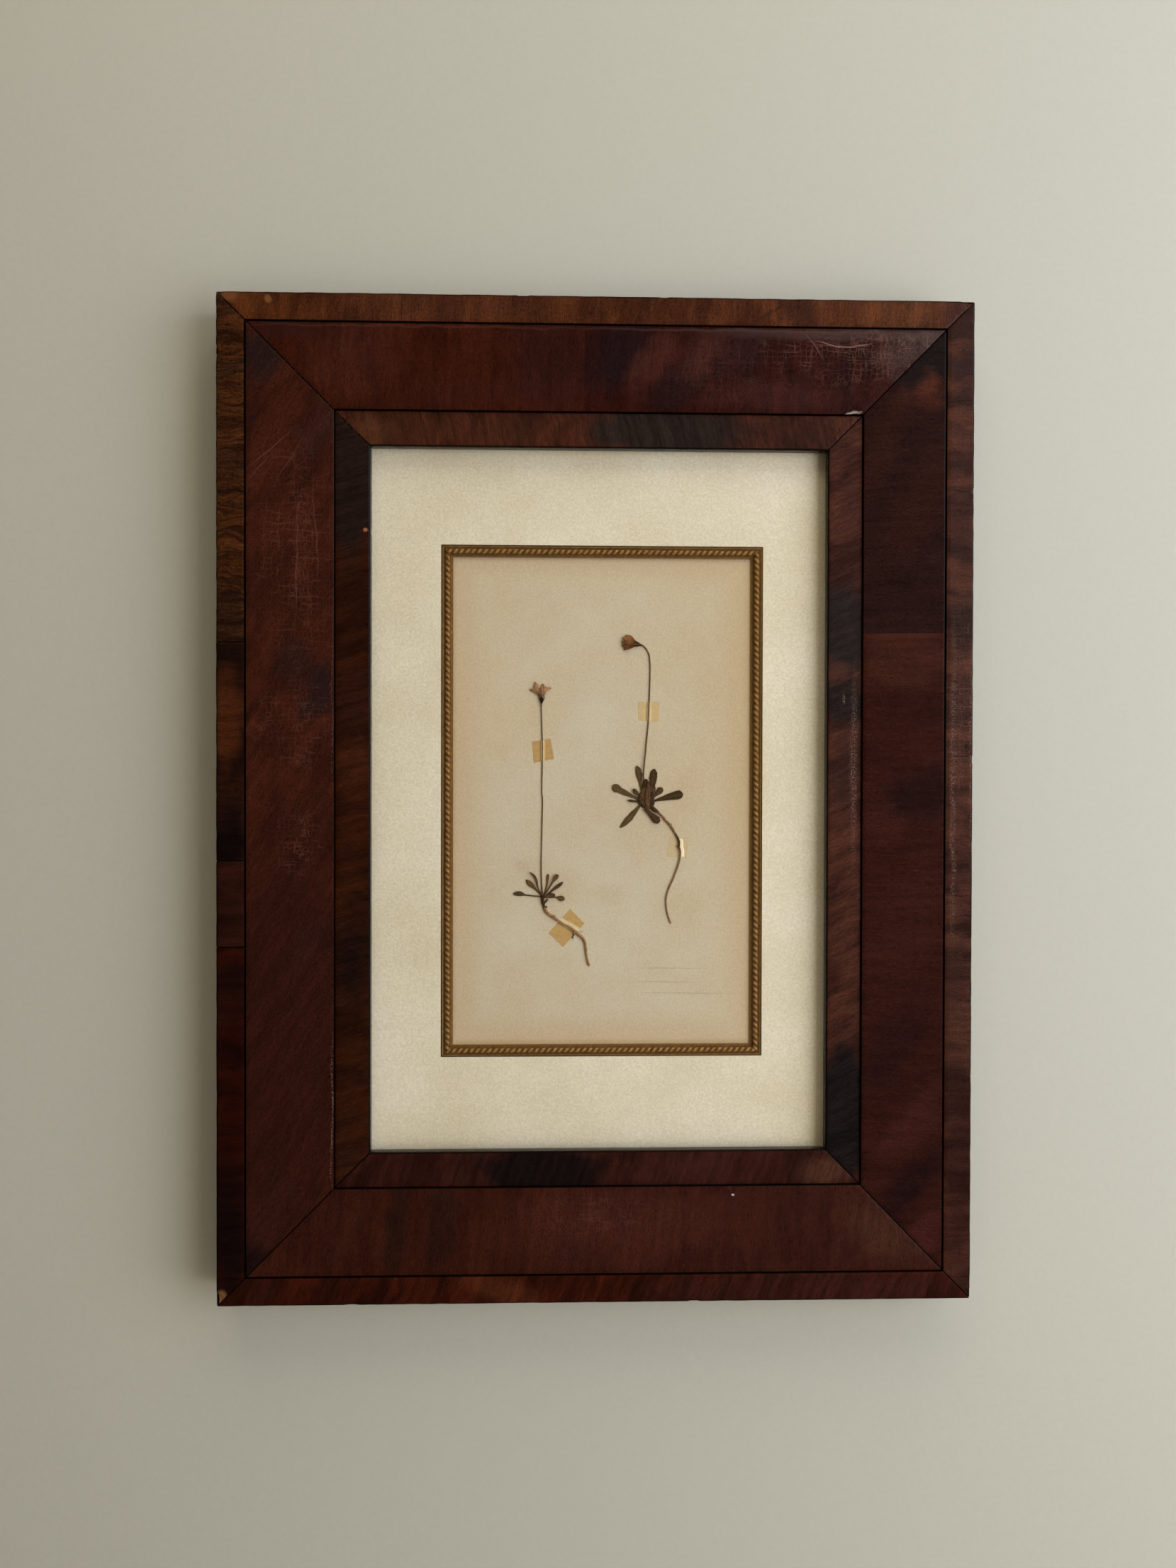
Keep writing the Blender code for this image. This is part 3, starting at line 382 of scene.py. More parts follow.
                  (198, 4, 26, 14, -24, 0.5, "#1c0d0c", 0.75), (178, -14, 14, 12, 30, 0.6, "#431c11", 0.4),
                  (190, -75, 22, 40, 20, 0.6, "#3d1a11", 0.35),
                  (185, -150, 12, 30, 28, 0.6, "#240f0e", 0.6), (197, -200, 9, 30, 34, 0.6, "#411c15", 0.5),
                  (200, -235, 8, 26, 40, 0.6, "#1c0c0d", 0.65), (186, -250, 8, 22, 34, 0.6, "#1f0d0e", 0.6),
                  (205, -268, 8, 14, 40, 0.6, "#451d18", 0.5)]},
    "slope_veneer_bottom": {"light": "#35150a", "dark": "#2d1007", "grain": 6,
        "shows": (0.2, 0.12, 0.22, 0.32),
        "spots": [(-123, -257, 8, 30, 4, 0.5, "#1f0f0b", 0.65), (-95, -259, 9, 28, 10, 0.5, "#22100c", 0.6),
                  (-160, -262, 16, 22, 30, 0.7, "#35180f", 0.4),
                  (178, -268, 24, 12, 30, 0.6, "#4c2c1b", 0.3),
                  (84.4, -245.4, 0.9, 0.6, 0, 0.4, "#b7a9a0", 0.9),
                  (10, -260, 60, 20, 0, 0.7, "#49221a", 0.35)],
        "crazing": [(0, -256, 30, 14, 0, 0.8, 0.4)]},
    "inner_strip_top": {"light": "#401f11", "dark": "#2e160c", "grain": -14,
        "shows": (0.3, 0.26, 0.12, 0.35),
        "spots": [(40, 228, 46, 15, 0, 0.3, "#221a16", 0.92), (98, 228, 9, 8, 0, 0.7, "#23150f", 0.6),
                  (-12, 226, 8, 8, 0, 0.7, "#4f2415", 0.4), (-140, 225, 14, 10, 0, 0.7, "#55321c", 0.4)]},
    "inner_strip_left": {"light": "#311406", "dark": "#230d04", "grain": 74,
        "shows": (0.26, 0.24, 0.12, 0.3),
        "spots": [(-151, 206, 16, 58, 0, 0.25, "#1f140f", 0.9),
                  (-142.8, 166.3, 1.2, 1.2, 0, 0.4, "#935c3c", 0.85),
                  (-151, 60, 12, 20, 0, 0.7, "#26110a", 0.5), (-151, -100, 13, 26, 0, 0.6, "#180b08", 0.75),
                  (-148, 20, 10, 14, 0, 0.7, "#4a2311", 0.4), (-151, -220, 12, 16, 0, 0.7, "#2c150c", 0.4)]},
    "inner_strip_right": {"light": "#412114", "dark": "#31160d", "grain": 64,
        "shows": (0.3, 0.26, 0.12, 0.35),
        "spots": [(154, 108, 16, 27, 0, 0.3, "#1e1816", 0.92), (154, 63, 14, 15, 0, 0.35, "#1c1513", 0.9),
                  (149, 82, 7, 5, 0, 0.5, "#43271a", 0.5), (154, -196, 16, 46, 0, 0.22, "#141010", 0.95),
                  (155, 20, 10, 22, 0, 0.6, "#2e1a13", 0.6),
                  (160, 20, 2, 50, 0, 0.6, "#8a6a58", 0.5, "worn"),
                  (153.4, 64.2, 0.8, 3, 0, 0.4, "#a58a70", 0.7, "worn")]},
    "inner_strip_bottom": {"light": "#34150e", "dark": "#260e08", "grain": 20,
        "shows": (0.26, 0.24, 0.12, 0.3),
        "spots": [(-34, -229, 38, 16, 0, 0.3, "#110b0a", 0.92), (-80, -228, 12, 10, 0, 0.7, "#23110b", 0.5),
                  (144, -232, 14, 8, 0, 0.7, "#5a3724", 0.4), (40, -229, 30, 10, 0, 0.7, "#3d1c14", 0.4)]},
}

# size of each part of the grain across, deep and along, in mm
woodGrain = {"figure": (15, 36), "fibre": (0.42, 3, 8), "streak": (3.6, 6, 80), "fleck": (0.5, 1, 1.6),
             "pore": (0.26, 1, 2.6), "groove": (0.4, 1, 7)}

# crackle: a fine net (cell size in mm, line width as a share of it, strength), and long cracks that run
# up (axis 0) or across (axis 2): axis, spacing and half width in mm, strength
# the near-black is grime and painted shade round the veneers' arrises and in their joints
polish = {"roughness": 0.32, "grime": "#0c0603", "crazeColour": "#84604f", "net": (3.4, 0.07, 0.26),
          "cracks": [(0, 9.0, 0.34, 0.44), (0, 15.5, 0.3, 0.4), (2, 5.6, 0.3, 0.4), (2, 11.0, 0.34, 0.4)]}


def crackle(tree, place, bend, swayed, colour, look):
    # crackled polish: a faint square-ish net, with long broken cracks up and across
    wobble = add(tree, "TexNoise", {"Vector": place, "Scale": 1 / 3.6, "Detail": 2.0})
    nudged = nudge(tree, place, wobble.outputs["Color"], 1.3)
    cell, thin, strength = polish["net"]
    cells = add(tree, "TexVoronoi", {"Vector": nudged, "Scale": 1 / cell, "Randomness": 0.5},
                feature="DISTANCE_TO_EDGE")
    craze = add(tree, "MapRange", {"Value": cells, "From Min": 0.0, "From Max": thin,
                                   "To Min": strength, "To Max": 0.0})
    parts = add(tree, "SeparateXYZ", {0: nudge(tree, nudged, bend, 9.0)})
    for number, (axis, spacing, half, strength) in enumerate(polish["cracks"]):
        run = add(tree, "Math", {0: parts.outputs[axis], 1: 1 / spacing}, operation="MULTIPLY")
        share = add(tree, "Math", {0: run}, operation="FRACT")
        off = add(tree, "Math", {0: share, 1: 0.5}, operation="SUBTRACT")
        off = add(tree, "Math", {0: off}, operation="ABSOLUTE")
        line = add(tree, "MapRange", {"Value": off, "From Min": 0.0, "From Max": half / spacing,
                                      "To Min": strength, "To Max": 0.0})
        shifted = add(tree, "Mapping", {"Vector": nudged, "Location": (37 * number, 5, 11 * number)})
        breaks = grainPattern(tree, shifted, 0 if axis == 0 else 90, (4, 20, 11), 1.0)
        whole = add(tree, "MapRange", {"Value": breaks, "From Min": 0.47, "From Max": 0.56})
        line = add(tree, "Math", {0: line, 1: whole}, operation="MULTIPLY")
        craze = add(tree, "Math", {0: craze, 1: line}, operation="MAXIMUM")
    region = None
    for *spot, strength in look["crazing"]:
        mask = add(tree, "Math", {0: softSpot(tree, swayed, spot), 1: strength}, operation="MULTIPLY")
        region = add(tree, "Math", {0: region, 1: mask}, operation="MAXIMUM") if region else mask
    patchy = add(tree, "TexNoise", {"Vector": place, "Scale": 1 / 9, "Detail": 1.0})
    present = add(tree, "MapRange", {"Value": patchy, "From Min": 0.4, "From Max": 0.58, "To Min": 0.25})
    for part in (region, present):
        craze = add(tree, "Math", {0: craze, 1: part}, operation="MULTIPLY")
    return add(tree, "Mix", {"Factor": craze, "A": colour,
                             "B": look.get("crazeColour", polish["crazeColour"])}, data_type="RGBA")


def veneerMaterial(name, look):
    # mahogany veneer, knife-cut and french polished: dark red-brown, fine pores, a soft deep sheen
    material, tree, place = startMaterial(name)
    sway = add(tree, "TexNoise", {"Vector": place, "Scale": 1 / 16, "Detail": 1.5})
    bend = add(tree, "VectorMath", {0: sway.outputs["Color"], 1: (0.5, 0.5, 0.5)}, operation="SUBTRACT")
    swayed, eased = nudge(tree, place, bend, 18.0), nudge(tree, place, bend, 3.5)

    turn = look["grain"]
    across, along = look.get("figure", woodGrain["figure"])
    cloud = grainPattern(tree, swayed, turn, (across, 40, along), 1.0)
    colour = blend(tree, look["dark"], look["light"], cloud, 0.38, 0.62)
    colour = stain(tree, swayed, colour, [spot for spot in look["spots"] if min(spot[2:4]) >= 6])

    fibre, streak, fleck, pore = look["shows"]
    fibres = grainPattern(tree, eased, turn, woodGrain["fibre"], 2.0, 0.7)
    streaks = grainPattern(tree, eased, turn, woodGrain["streak"], 1.0)
    flecks = grainPattern(tree, place, turn, woodGrain["fleck"], 1.0, 0.7)
    pores = grainPattern(tree, place, turn, woodGrain["pore"], 0.0)
    colour = shade(tree, colour, (fibres, 0.36, 0.64, 1 - fibre, 1 + fibre),
                   (streaks, 0.3, 0.7, 1 - streak, 1 + streak),
                   (flecks, 0.36, 0.64, 1 - fleck, 1 + fleck), (pores, 0.60, 0.68, 1.0, 1 - pore))
    if "crazing" in look:
        colour = crackle(tree, place, bend, swayed, colour, look)

    # small marks lie on top; the worn ones are broken up
    speckle = add(tree, "TexNoise", {"Vector": place, "Scale": 1.1, "Detail": 2.0, "Roughness": 0.7})
    broken = add(tree, "MapRange", {"Value": speckle, "From Min": 0.50, "From Max": 0.62})
    colour = stain(tree, eased, colour, [spot for spot in look["spots"] if min(spot[2:4]) < 6], broken)
    # grime and painted shade: near black round the arrises and down the joints between pieces
    grime = add(tree, "Attribute", attribute_name="grime").outputs["Fac"]
    colour = blend(tree, colour, polish["grime"], grime, 0.1, 0.8, 0.0, 0.85)
    gloss = add(tree, "MapRange", {"Value": flecks, "From Min": 0.3, "From Max": 0.7,
                                   "To Min": polish["roughness"] - 0.04,
                                   "To Max": polish["roughness"] + 0.08})
    grooves = grainPattern(tree, place, turn, woodGrain["groove"], 1.0)
    return finish(material, {"Base Color": colour, "Roughness": gloss}, (grooves, 0.35, 0.00012))


# edge: rounding of worn arrises; slice: spacing of the rings that let the wood waver; waver: how far;
# ragged and outerWaver: how far the frame's outer edge has worn back
veneerShape = {"edge": 0.36, "slice": 3.0, "waver": 0.10, "ragged": 0.28, "outerWaver": 0.24}

# butt joints that the polish has filled: axis, where the end is, how far it goes to meet its neighbour (mm)
tightJoints = {"slope_veneer_top_1": (0, -8.3, -0.17), "slope_veneer_top_2": (0, -8.7, 0.17),
               "slope_veneer_right_1": (2, -180.6, 0.07), "slope_veneer_right_2": (2, -180.4, -0.07)}

# the frame's outer edges: axis, place on it (mm), the way in
outerEdges = ((0, -231.8, 1), (0, 231.8, -1), (2, 23.3, -1), (2, -593.3, 1))

# chips by node: x, z (mm), reach, depth and the way the wood is lost (x, y, z)
chips = {
    "outer_band_top": [(-46, 308.5, 4.5, 0.7, (0, 0.2, -1)), (-231, 308.5, 3.0, 1.2, (0.8, 0.5, -0.8)),
                       (229.5, 308.5, 7.0, 0.9, (0, 0.4, -1)), (40, 308.5, 3.0, 0.4, (0, 0.4, -1))],
    "outer_band_left_1": [(-232, 296, 4.0, 0.6, (1, 0.3, 0)), (-232, 272, 5.0, 0.5, (1, 0.3, 0))],
    "outer_band_left_4": [(-231.5, -304, 4.5, 1.6, (1, 0.6, 0.5)), (-232, -180, 3.0, 0.5, (1, 0.3, 0))],
    "outer_band_right": [(232, 26, 3.0, 0.5, (-1, 0.4, 0)), (232, 192, 2.0, 0.5, (-1, 0.4, 0)),
                         (231.5, -306, 4.0, 1.2, (-1, 0.5, 0.6))],
    "outer_band_bottom": [(60, -308.5, 4.0, 0.6, (0, 0.4, 1)), (-150, -308.5, 5.0, 0.5, (0, 0.4, 1))],
    "slope_veneer_top_1": [(158.5, 240.6, 4.8, 0.5, (0, 0.7, 0.5))],
    "slope_veneer_bottom": [(84.4, -240.6, 1.6, 0.4, (0, 0.8, -0.3))],
    "inner_strip_left": [(-140.3, 166.3, 1.7, 0.5, (-0.8, 0.6, 0))],
    "slope_veneer_top_2": [(-168, 289, 3.0, 0.35, (0, 1, -0.3))],
    "slope_veneer_right_2": [(167, 262, 2.6, 0.6, (0.5, 0.8, 0.5))],
}


def veneerPiece(node, look):
    bm = bmesh.new()
    bm.from_mesh(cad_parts[node].data)
    bmesh.ops.remove_doubles(bm, verts=bm.verts, dist=0.01 * mm)
    bmesh.ops.dissolve_limit(bm, angle_limit=math.radians(1), verts=bm.verts, edges=bm.edges)
    axis, end, meet = tightJoints.get(node, (0, 1e6, 0))
    joined = {v for v in bm.verts if abs(v.co[axis] * 1000 - end) < 0.3}
    for vert in joined:
        vert.co[axis] += meet * mm
    corners = [e for e in bm.edges if len(e.link_faces) == 2 and e.calc_face_angle() > math.radians(20)
               and not joined.issuperset(e.verts)]
    bmesh.ops.bevel(bm, geom=corners, offset=veneerShape["edge"] * mm, offset_type="OFFSET", affect="EDGES",
                    segments=2, profile=0.5, material=-1, clamp_overlap=True)
    # grime and painted shade: 1 round the arrises and down the joints, 0 on the face
    grime = bm.verts.layers.float.new("grime")
    bm.normal_update()
    fronts = [f for f in bm.faces if f.normal.y < -0.9]
    facing = max(fronts, key=lambda f: f.calc_area()).normal.copy()
    for vert in bm.verts:
        vert[grime] = 0.0 if any(f.normal.angle(facing) < 0.1 for f in vert.link_faces) else 1.0
    own = chips.get(node, [])
    for axis, normal in ((0, Vector((1, 0, 0))), (2, Vector((0, 0, 1)))):
        low, high = [pick(v.co[axis] for v in bm.verts) for pick in (min, max)]
        cuts = [low + i * veneerShape["slice"] * mm
                for i in range(1, int((high - low) / (veneerShape["slice"] * mm)) + 1)]
        for x, z, reach, *_ in own:
            middle = (x if axis == 0 else z + middleHeight) * mm
            cuts += [middle + i * reach * mm / 4 + 0.05 * mm for i in range(-4, 5)]
        for cut in cuts:
            bmesh.ops.bisect_plane(bm, geom=bm.verts[:] + bm.edges[:] + bm.faces[:], dist=0.02 * mm,
                                   plane_co=normal * cut, plane_no=normal)
    for vert in bm.verts:
        spot = vert.co * 1000
        sway = noise.noise_vector(spot / 11.0) * veneerShape["waver"]
        shift = Vector((sway.x * 0.6, sway.y, sway.z * 0.6))
        if node == "outer_band_left_1" and spot.x < -231:
            shift.x += veneerShape["ragged"] * max(noise.noise(Vector((0, 3, spot.z / 3.2))) + 0.25, 0)
        for axis, outer, way in outerEdges:
            if "band" in node and (spot[axis] - outer) * way < 0.5:
                dent = max(noise.noise(Vector((spot[2 - axis] / 8, outer, 1.5))) + 0.1, 0)
                shift[axis] += dent * veneerShape["outerWaver"] * way
        for x, z, reach, depth, way in own:
            away = math.hypot(spot.x - x, spot.z - middleHeight - z) / reach
            if away < 1:
                torn = 0.6 + 0.8 * abs(noise.noise(spot * 1.3))
                shift += Vector(way).normalized() * depth * torn * (1 - away * away)
        vert.co += shift * mm
    bmesh.ops.recalc_face_normals(bm, faces=bm.faces)
    material = veneerMaterial("polished mahogany " + node.replace("_", " "), look)
    return makePiece(node + "_worn", bm, material, [node], 32)


for node, look in veneers.items():
    veneerPiece(node, look)
print("veneers done")


# ---- rail cores: soft wood, stained outside, near black in front as grime and painted shade down the grooves, bare behind ----
# the near-black is grime and painted shade for the core's front, seen down the grooves
coreLook = {"bare": "#8a6442", "late": "#5e3f26", "stain": "#2c180e", "grime": "#070403"}


def coreMaterial(name, turn):
    # pine, sawn: bands of early and late wood along the rail, stained nearly black outside
    material, tree, place = startMaterial(name)
    rings = grainPattern(tree, place, turn, (3.2, 6, 140), 2.0)
    wood = blend(tree, coreLook["bare"], coreLook["late"], rings, 0.35, 0.62)
    fibre = grainPattern(tree, place, turn, (0.5, 0.8, 26), 3.0, 0.6)
    dirt = add(tree, "TexNoise", {"Vector": place, "Scale": 1 / 45, "Detail": 4.0, "Roughness": 0.6})
    bare, stained = [shade(tree, colour, (fibre, 0.36, 0.64, 0.72, 1.2), (dirt, 0.35, 0.65, 0.7, 1.1))
                     for colour in (wood, coreLook["stain"])]
    # stain follows the outer sides: where the surface looks away from the frame's middle
    flat = add(tree, "VectorMath", {0: place, 1: (1, 0, 1)}, operation="MULTIPLY")
    outward = add(tree, "VectorMath", {0: flat}, operation="NORMALIZE")
    normal = add(tree, "NewGeometry").outputs["Normal"]
    facing = add(tree, "VectorMath", {0: normal, 1: outward}, operation="DOT_PRODUCT").outputs["Value"]
    wood = blend(tree, bare, stained, facing, 0.15, 0.3)
    # grime and painted shade: the core's front shows only down the grooves between veneers, so it is laid
    # near black there
    depth = add(tree, "SeparateXYZ", {0: place}).outputs["Y"]
    front = add(tree, "MapRange", {"Value": depth, "From Min": -18.5, "From Max": -17.5,
                                   "To Min": 1.0, "To Max": 0.0})
    inside = add(tree, "MapRange", {"Value": facing, "From Min": 0.15, "From Max": 0.3,
                                    "To Min": 1.0, "To Max": 0.0})
    grimeAndShadeMask = add(tree, "Math", {0: front, 1: inside}, operation="MULTIPLY")
    wood = add(tree, "Mix", {"Factor": grimeAndShadeMask, "A": wood, "B": coreLook["grime"]}, data_type="RGBA")
    return finish(material, {"Base Color": wood, "Roughness": 0.62}, (fibre, 0.5, 0.0002))


for name, turn, pair in (("stained pine upright", 0, sides[:2]), ("stained pine level", 90, sides[2:])):
    pine = coreMaterial(name, turn)
    for side in pair:
        dress("rail_core_" + side, pine)
print("cores dressed")


# ---- gilt fillet with a rope-twist bead ----
fillet = {
    "window": {"left": -97.5, "right": 104.4, "bottom": -160.9, "top": 159.8},
    "width": 7.4, "base": 9.6, "flat": 11.1, "edge": 10.2, "brim": 0.6, "mitreGap": 0.12,
    "beadCentre": 4.1, "beadRadius": 1.5, "beadHeight": 1.3, "lip": 0.22, "seat": 0.3,
    "pitch": 3.7, "twist": 0.75, "groove": 0.4, "stepsPerTwist": 12, "stepsAcross": 12,
    # gilding from the rubbed crests, painted bright as their highlights, down to the wax in the hollows and
    # the painted shade beside the mat
    "tones": [(0.0, "#c29152"), (0.2, "#986f3a"), (0.5, "#765325"), (0.8, "#563916"), (1.0, "#38240b")],
}


def filletProfile():
    # (distance in from the mat, height above the rail's back, place across the bead or None, how dark: wax in
    # the hollows, painted shade at the outer flat beside the mat)
    flat, lip, around = fillet["flat"], fillet["flat"] + fillet["lip"], fillet["stepsAcross"]
    # the outer flat beside the mat is painted nearly black, as shade
    points = [(fillet["seat"], flat, None, 0.95), (0.7, flat, None, 0.9), (0.85, lip, None, 0.3),
              (1.25, lip, None, 0.3), (1.55, flat - 0.1, None, 0.75), (2.4, flat - 0.1, None, 0.65)]
    for step in range(around + 1):
        angle = math.pi * (1 - step / around)
        points.append((fillet["beadCentre"] + fillet["beadRadius"] * math.cos(angle),
                       flat + fillet["beadHeight"] * math.sin(angle), step / around, 0.75))
    brim, edge, base = fillet["width"] - fillet["brim"], fillet["edge"], fillet["base"]
    points += [(6.1, 10.6, None, 0.65), (brim, edge, None, 0.5), (fillet["width"], edge, None, 0.45),
               (fillet["width"], base, None, 0.6), (fillet["seat"], base, None, 0.8)]
    return points + [points[0]]


def filletPiece(side, material):
    window = fillet["window"]
    upright = side in ("left", "right")
    start, end = (window["bottom"], window["top"]) if upright else (window["left"], window["right"])
    profile = filletProfile()
    steps = int((end - start) / fillet["pitch"] * fillet["stepsPerTwist"])
    bm = bmesh.new()
    bmesh.ops.create_grid(bm, x_segments=steps, y_segments=len(profile) - 1, size=1)
    waxAndPaintedLight = bm.verts.layers.float.new("waxAndPaintedLight")
    inward = 1 if side in ("left", "bottom") else -1
    for vert in bm.verts:
        along = start + (end - start) * (vert.co.x + 1) / 2
        index = round((vert.co.y + 1) / 2 * (len(profile) - 1))
        u, h, part, vert[waxAndPaintedLight] = profile[index]
        if part is not None:
            # strands lean one way on the uprights and the other way on the level lengths
            turn = along / fillet["pitch"] + part * fillet["twist"] * (1 if side in ("left", "top") else -1)
            cut = (abs((turn % 1) - 0.5) * 2) ** 1.5
            # crests painted bright as highlights; the gaps between strands dark as wax
            if 0.12 < part < 0.88:
                vert[waxAndPaintedLight] = 0.05 + 0.85 * cut ** 0.8
            shrink = 1 - fillet["groove"] * cut
            u = fillet["beadCentre"] + (u - fillet["beadCentre"]) * (0.6 + 0.4 * shrink)
            h = fillet["flat"] + (h - fillet["flat"]) * shrink
        wear = noise.noise(Vector((along / 6, u, h))) * 0.05
        across, level = window[side] + inward * u, railBack - h - wear
        spot = (across, level, along + middleHeight) if upright else (along, level, across + middleHeight)
        vert.co = Vector(spot) * mm
    bmesh.ops.remove_doubles(bm, verts=bm.verts, dist=0.01 * mm)
    # mitre both ends against the neighbours, and close them
    for level in ("bottom", "top"):
        for hand in ("left", "right"):
            if side not in (level, hand):
                continue
            point = Vector((window[hand], 0, window[level] + middleHeight)) * mm
            normal = Vector((1 if hand == "left" else -1, 0, -1 if level == "bottom" else 1))
            normal = (normal if upright else -normal).normalized()
            cut = bmesh.ops.bisect_plane(bm, geom=bm.verts[:] + bm.edges[:] + bm.faces[:], dist=0.001 * mm,
                                         plane_co=point - normal * fillet["mitreGap"] * mm, plane_no=normal,
                                         clear_outer=True)
            rim = [item for item in cut["geom_cut"] if isinstance(item, bmesh.types.BMEdge)]
            bmesh.ops.contextual_create(bm, geom=rim)
    bmesh.ops.recalc_face_normals(bm, faces=bm.faces)
    makePiece("fillet_" + side + "_twisted", bm, material, ["fillet_" + side], 50)


def giltMaterial():
    # bronze-gilt composition, cast and rubbed: dull gold on the crests, painted brighter there as highlights,
    # dark wax in the hollows, painted shade at the outer flat
    material, tree, place = startMaterial("dull bronze gilding")
    wear = add(tree, "TexNoise", {"Vector": place, "Scale": 1 / 2.2, "Detail": 4.0, "Roughness": 0.65})
    waxAndPaintedLight = add(tree, "Attribute", attribute_name="waxAndPaintedLight").outputs["Fac"]
    shifted = add(tree, "MapRange", {"Value": wear, "From Min": 0.3, "From Max": 0.7,
                                     "To Min": -0.16, "To Max": 0.16})
    depth = add(tree, "Math", {0: waxAndPaintedLight, 1: shifted}, operation="ADD")
    gold = add(tree, "ValToRGB", {"Fac": depth}, fillet["tones"])
    rough = add(tree, "MapRange", {"Value": wear, "To Min": 0.3, "To Max": 0.55})
    fine = add(tree, "TexNoise", {"Vector": place, "Scale": 3.0, "Detail": 2.0})
    return finish(material, {"Base Color": gold, "Roughness": rough, "Metallic": 0.3}, (fine, 0.3, 0.0001))


gilding = giltMaterial()
for side in ("left", "top", "right", "bottom"):
    filletPiece(side, gilding)
print("fillet done")


# ---- glass, mat, sheet, backing ----
def glassMaterial():
    # drawn window glass: clear, hard, with a faint green body; lamps and soft light pass straight through
    material, tree, _ = startMaterial("clear window glass")
    ray = add(tree, "LightPath").outputs
    passing = add(tree, "Math", {0: ray["Is Shadow Ray"], 1: ray["Is Diffuse Ray"]}, operation="MAXIMUM")
    return finish(material, {"Base Color": "#fbfdfa", "Roughness": 0.0, "IOR": 1.5,
                             "Transmission Weight": 1.0}, clearWhere=passing)


matLook = {"card": "#dbd0b8", "toned": "#d0c2a4", "fibre": 0.14}


def matMaterial():
    # cream mat board: felt-marked paper face, lightly toned by age
    material, tree, place = startMaterial("cream mat board")
    cloud = add(tree, "TexNoise", {"Vector": place, "Scale": 1 / 60, "Detail": 3.0})
    colour = blend(tree, matLook["card"], matLook["toned"], cloud, 0.35, 0.7)
    felt = add(tree, "TexNoise", {"Vector": place, "Scale": 1 / 1.4, "Detail": 3.0, "Roughness": 0.8})
    colour = shade(tree, colour, (felt, 0.3, 0.7, 1 - matLook["fibre"], 1 + matLook["fibre"]))
    return finish(material, {"Base Color": colour, "Roughness": 0.9, "Specular IOR Level": 0.3},
                  (felt, 0.35, 0.0003))


sheetLook = {
    # the greyest colour is a painted shadow below the top fillet
    "paper": "#c3b69c", "toned": "#b89a72", "foxing": "#a98a5c", "grime": "#84705f", "lead": "#5a5148",
    "opening": (3.45, 0.55, 93.6, 153.0),      # middle and half size of the part that shows
    "stains": [(-34, -48, 18, 12, 20, 0.8, "#a98e68", 0.22), (26, -20, 24, 16, -10, 0.8, "#a98e68", 0.16),
               (8, -58, 10, 6, 0, 0.7, "#a98e68", 0.18), (-60, 60, 30, 50, 0, 0.9, "#c79f72", 0.12),
               (-46, -40, 5, 3, 0, 0.8, "#9c7f58", 0.15), (52, -66, 14, 10, 0, 0.8, "#a98e68", 0.1),
               (88, 60, 46, 120, 0, 0.8, "#b08d56", 0.22)],
    # three faint pencil lines near the foot of the sheet: x from, x to, height
    "pencil": [(24.0, 68.0, -105.8), (25.0, 61.0, -114.4), (27.0, 84.0, -121.6)],
}


def sheetMaterial():
    # machine-made wove paper, yellowed: fine fibre flock, browner where the fillet touched it
    material, tree, place = startMaterial("aged wove paper")
    cloud = add(tree, "TexNoise", {"Vector": place, "Scale": 1 / 38, "Detail": 4.0, "Roughness": 0.55})
    flock = add(tree, "TexNoise", {"Vector": place, "Scale": 1 / 1.1, "Detail": 3.0, "Roughness": 0.75})
    colour = blend(tree, sheetLook["paper"], sheetLook["toned"], cloud, 0.35, 0.7, 0.0, 0.35)
    # toning grows towards the edge of the opening, and a painted shadow of the top fillet lies below it
    midX, midZ, halfX, halfZ = sheetLook["opening"]
    local = add(tree, "VectorMath", {0: place, 1: (midX, 0, midZ)}, operation="SUBTRACT")
    parts = add(tree, "SeparateXYZ", {0: add(tree, "VectorMath", {0: local}, operation="ABSOLUTE")})
    gapX, gapZ = [add(tree, "Math", {0: half, 1: parts.outputs[axis]}, operation="SUBTRACT")
                  for half, axis in ((halfX, "X"), (halfZ, "Z"))]
    gap = add(tree, "Math", {0: gapX, 1: gapZ}, operation="MINIMUM")
    wander = add(tree, "MapRange", {"Value": cloud, "From Min": 0.3, "From Max": 0.7,
                                    "To Min": -6.0, "To Max": 6.0})
    loose = add(tree, "Math", {0: gap, 1: wander}, operation="ADD")
    height = add(tree, "SeparateXYZ", {0: local}).outputs["Z"]
    for dye, *band in (("toned", loose, 0.0, 26.0, 0.5, 0.0), ("foxing", gap, 0.0, 3.0, 0.45, 0.0),
                       ("grime", height, halfZ - 5.0, halfZ, 0.0, 0.5)):
        colour = blend(tree, colour, sheetLook[dye], *band, "SMOOTHSTEP")
    colour = stain(tree, nudge(tree, place, flock.outputs["Color"], 1.5), colour, sheetLook["stains"])
    grit = add(tree, "TexNoise", {"Vector": place, "Scale": 2.2, "Detail": 2.0})
    lead = add(tree, "MapRange", {"Value": grit, "From Min": 0.38, "From Max": 0.6,
                                  "To Min": 0.25, "To Max": 0.6})
    lines = [((start + end) / 2, height, (end - start) / 2, 0.16, 0.6, 0.35, sheetLook["lead"], lead)
             for start, end, height in sheetLook["pencil"]]
    colour = shade(tree, stain(tree, place, colour, lines), (flock, 0.3, 0.7, 0.88, 1.12))
    return finish(material, {"Base Color": colour, "Roughness": 0.92, "Specular IOR Level": 0.3},
                  (flock, 0.3, 0.0003))


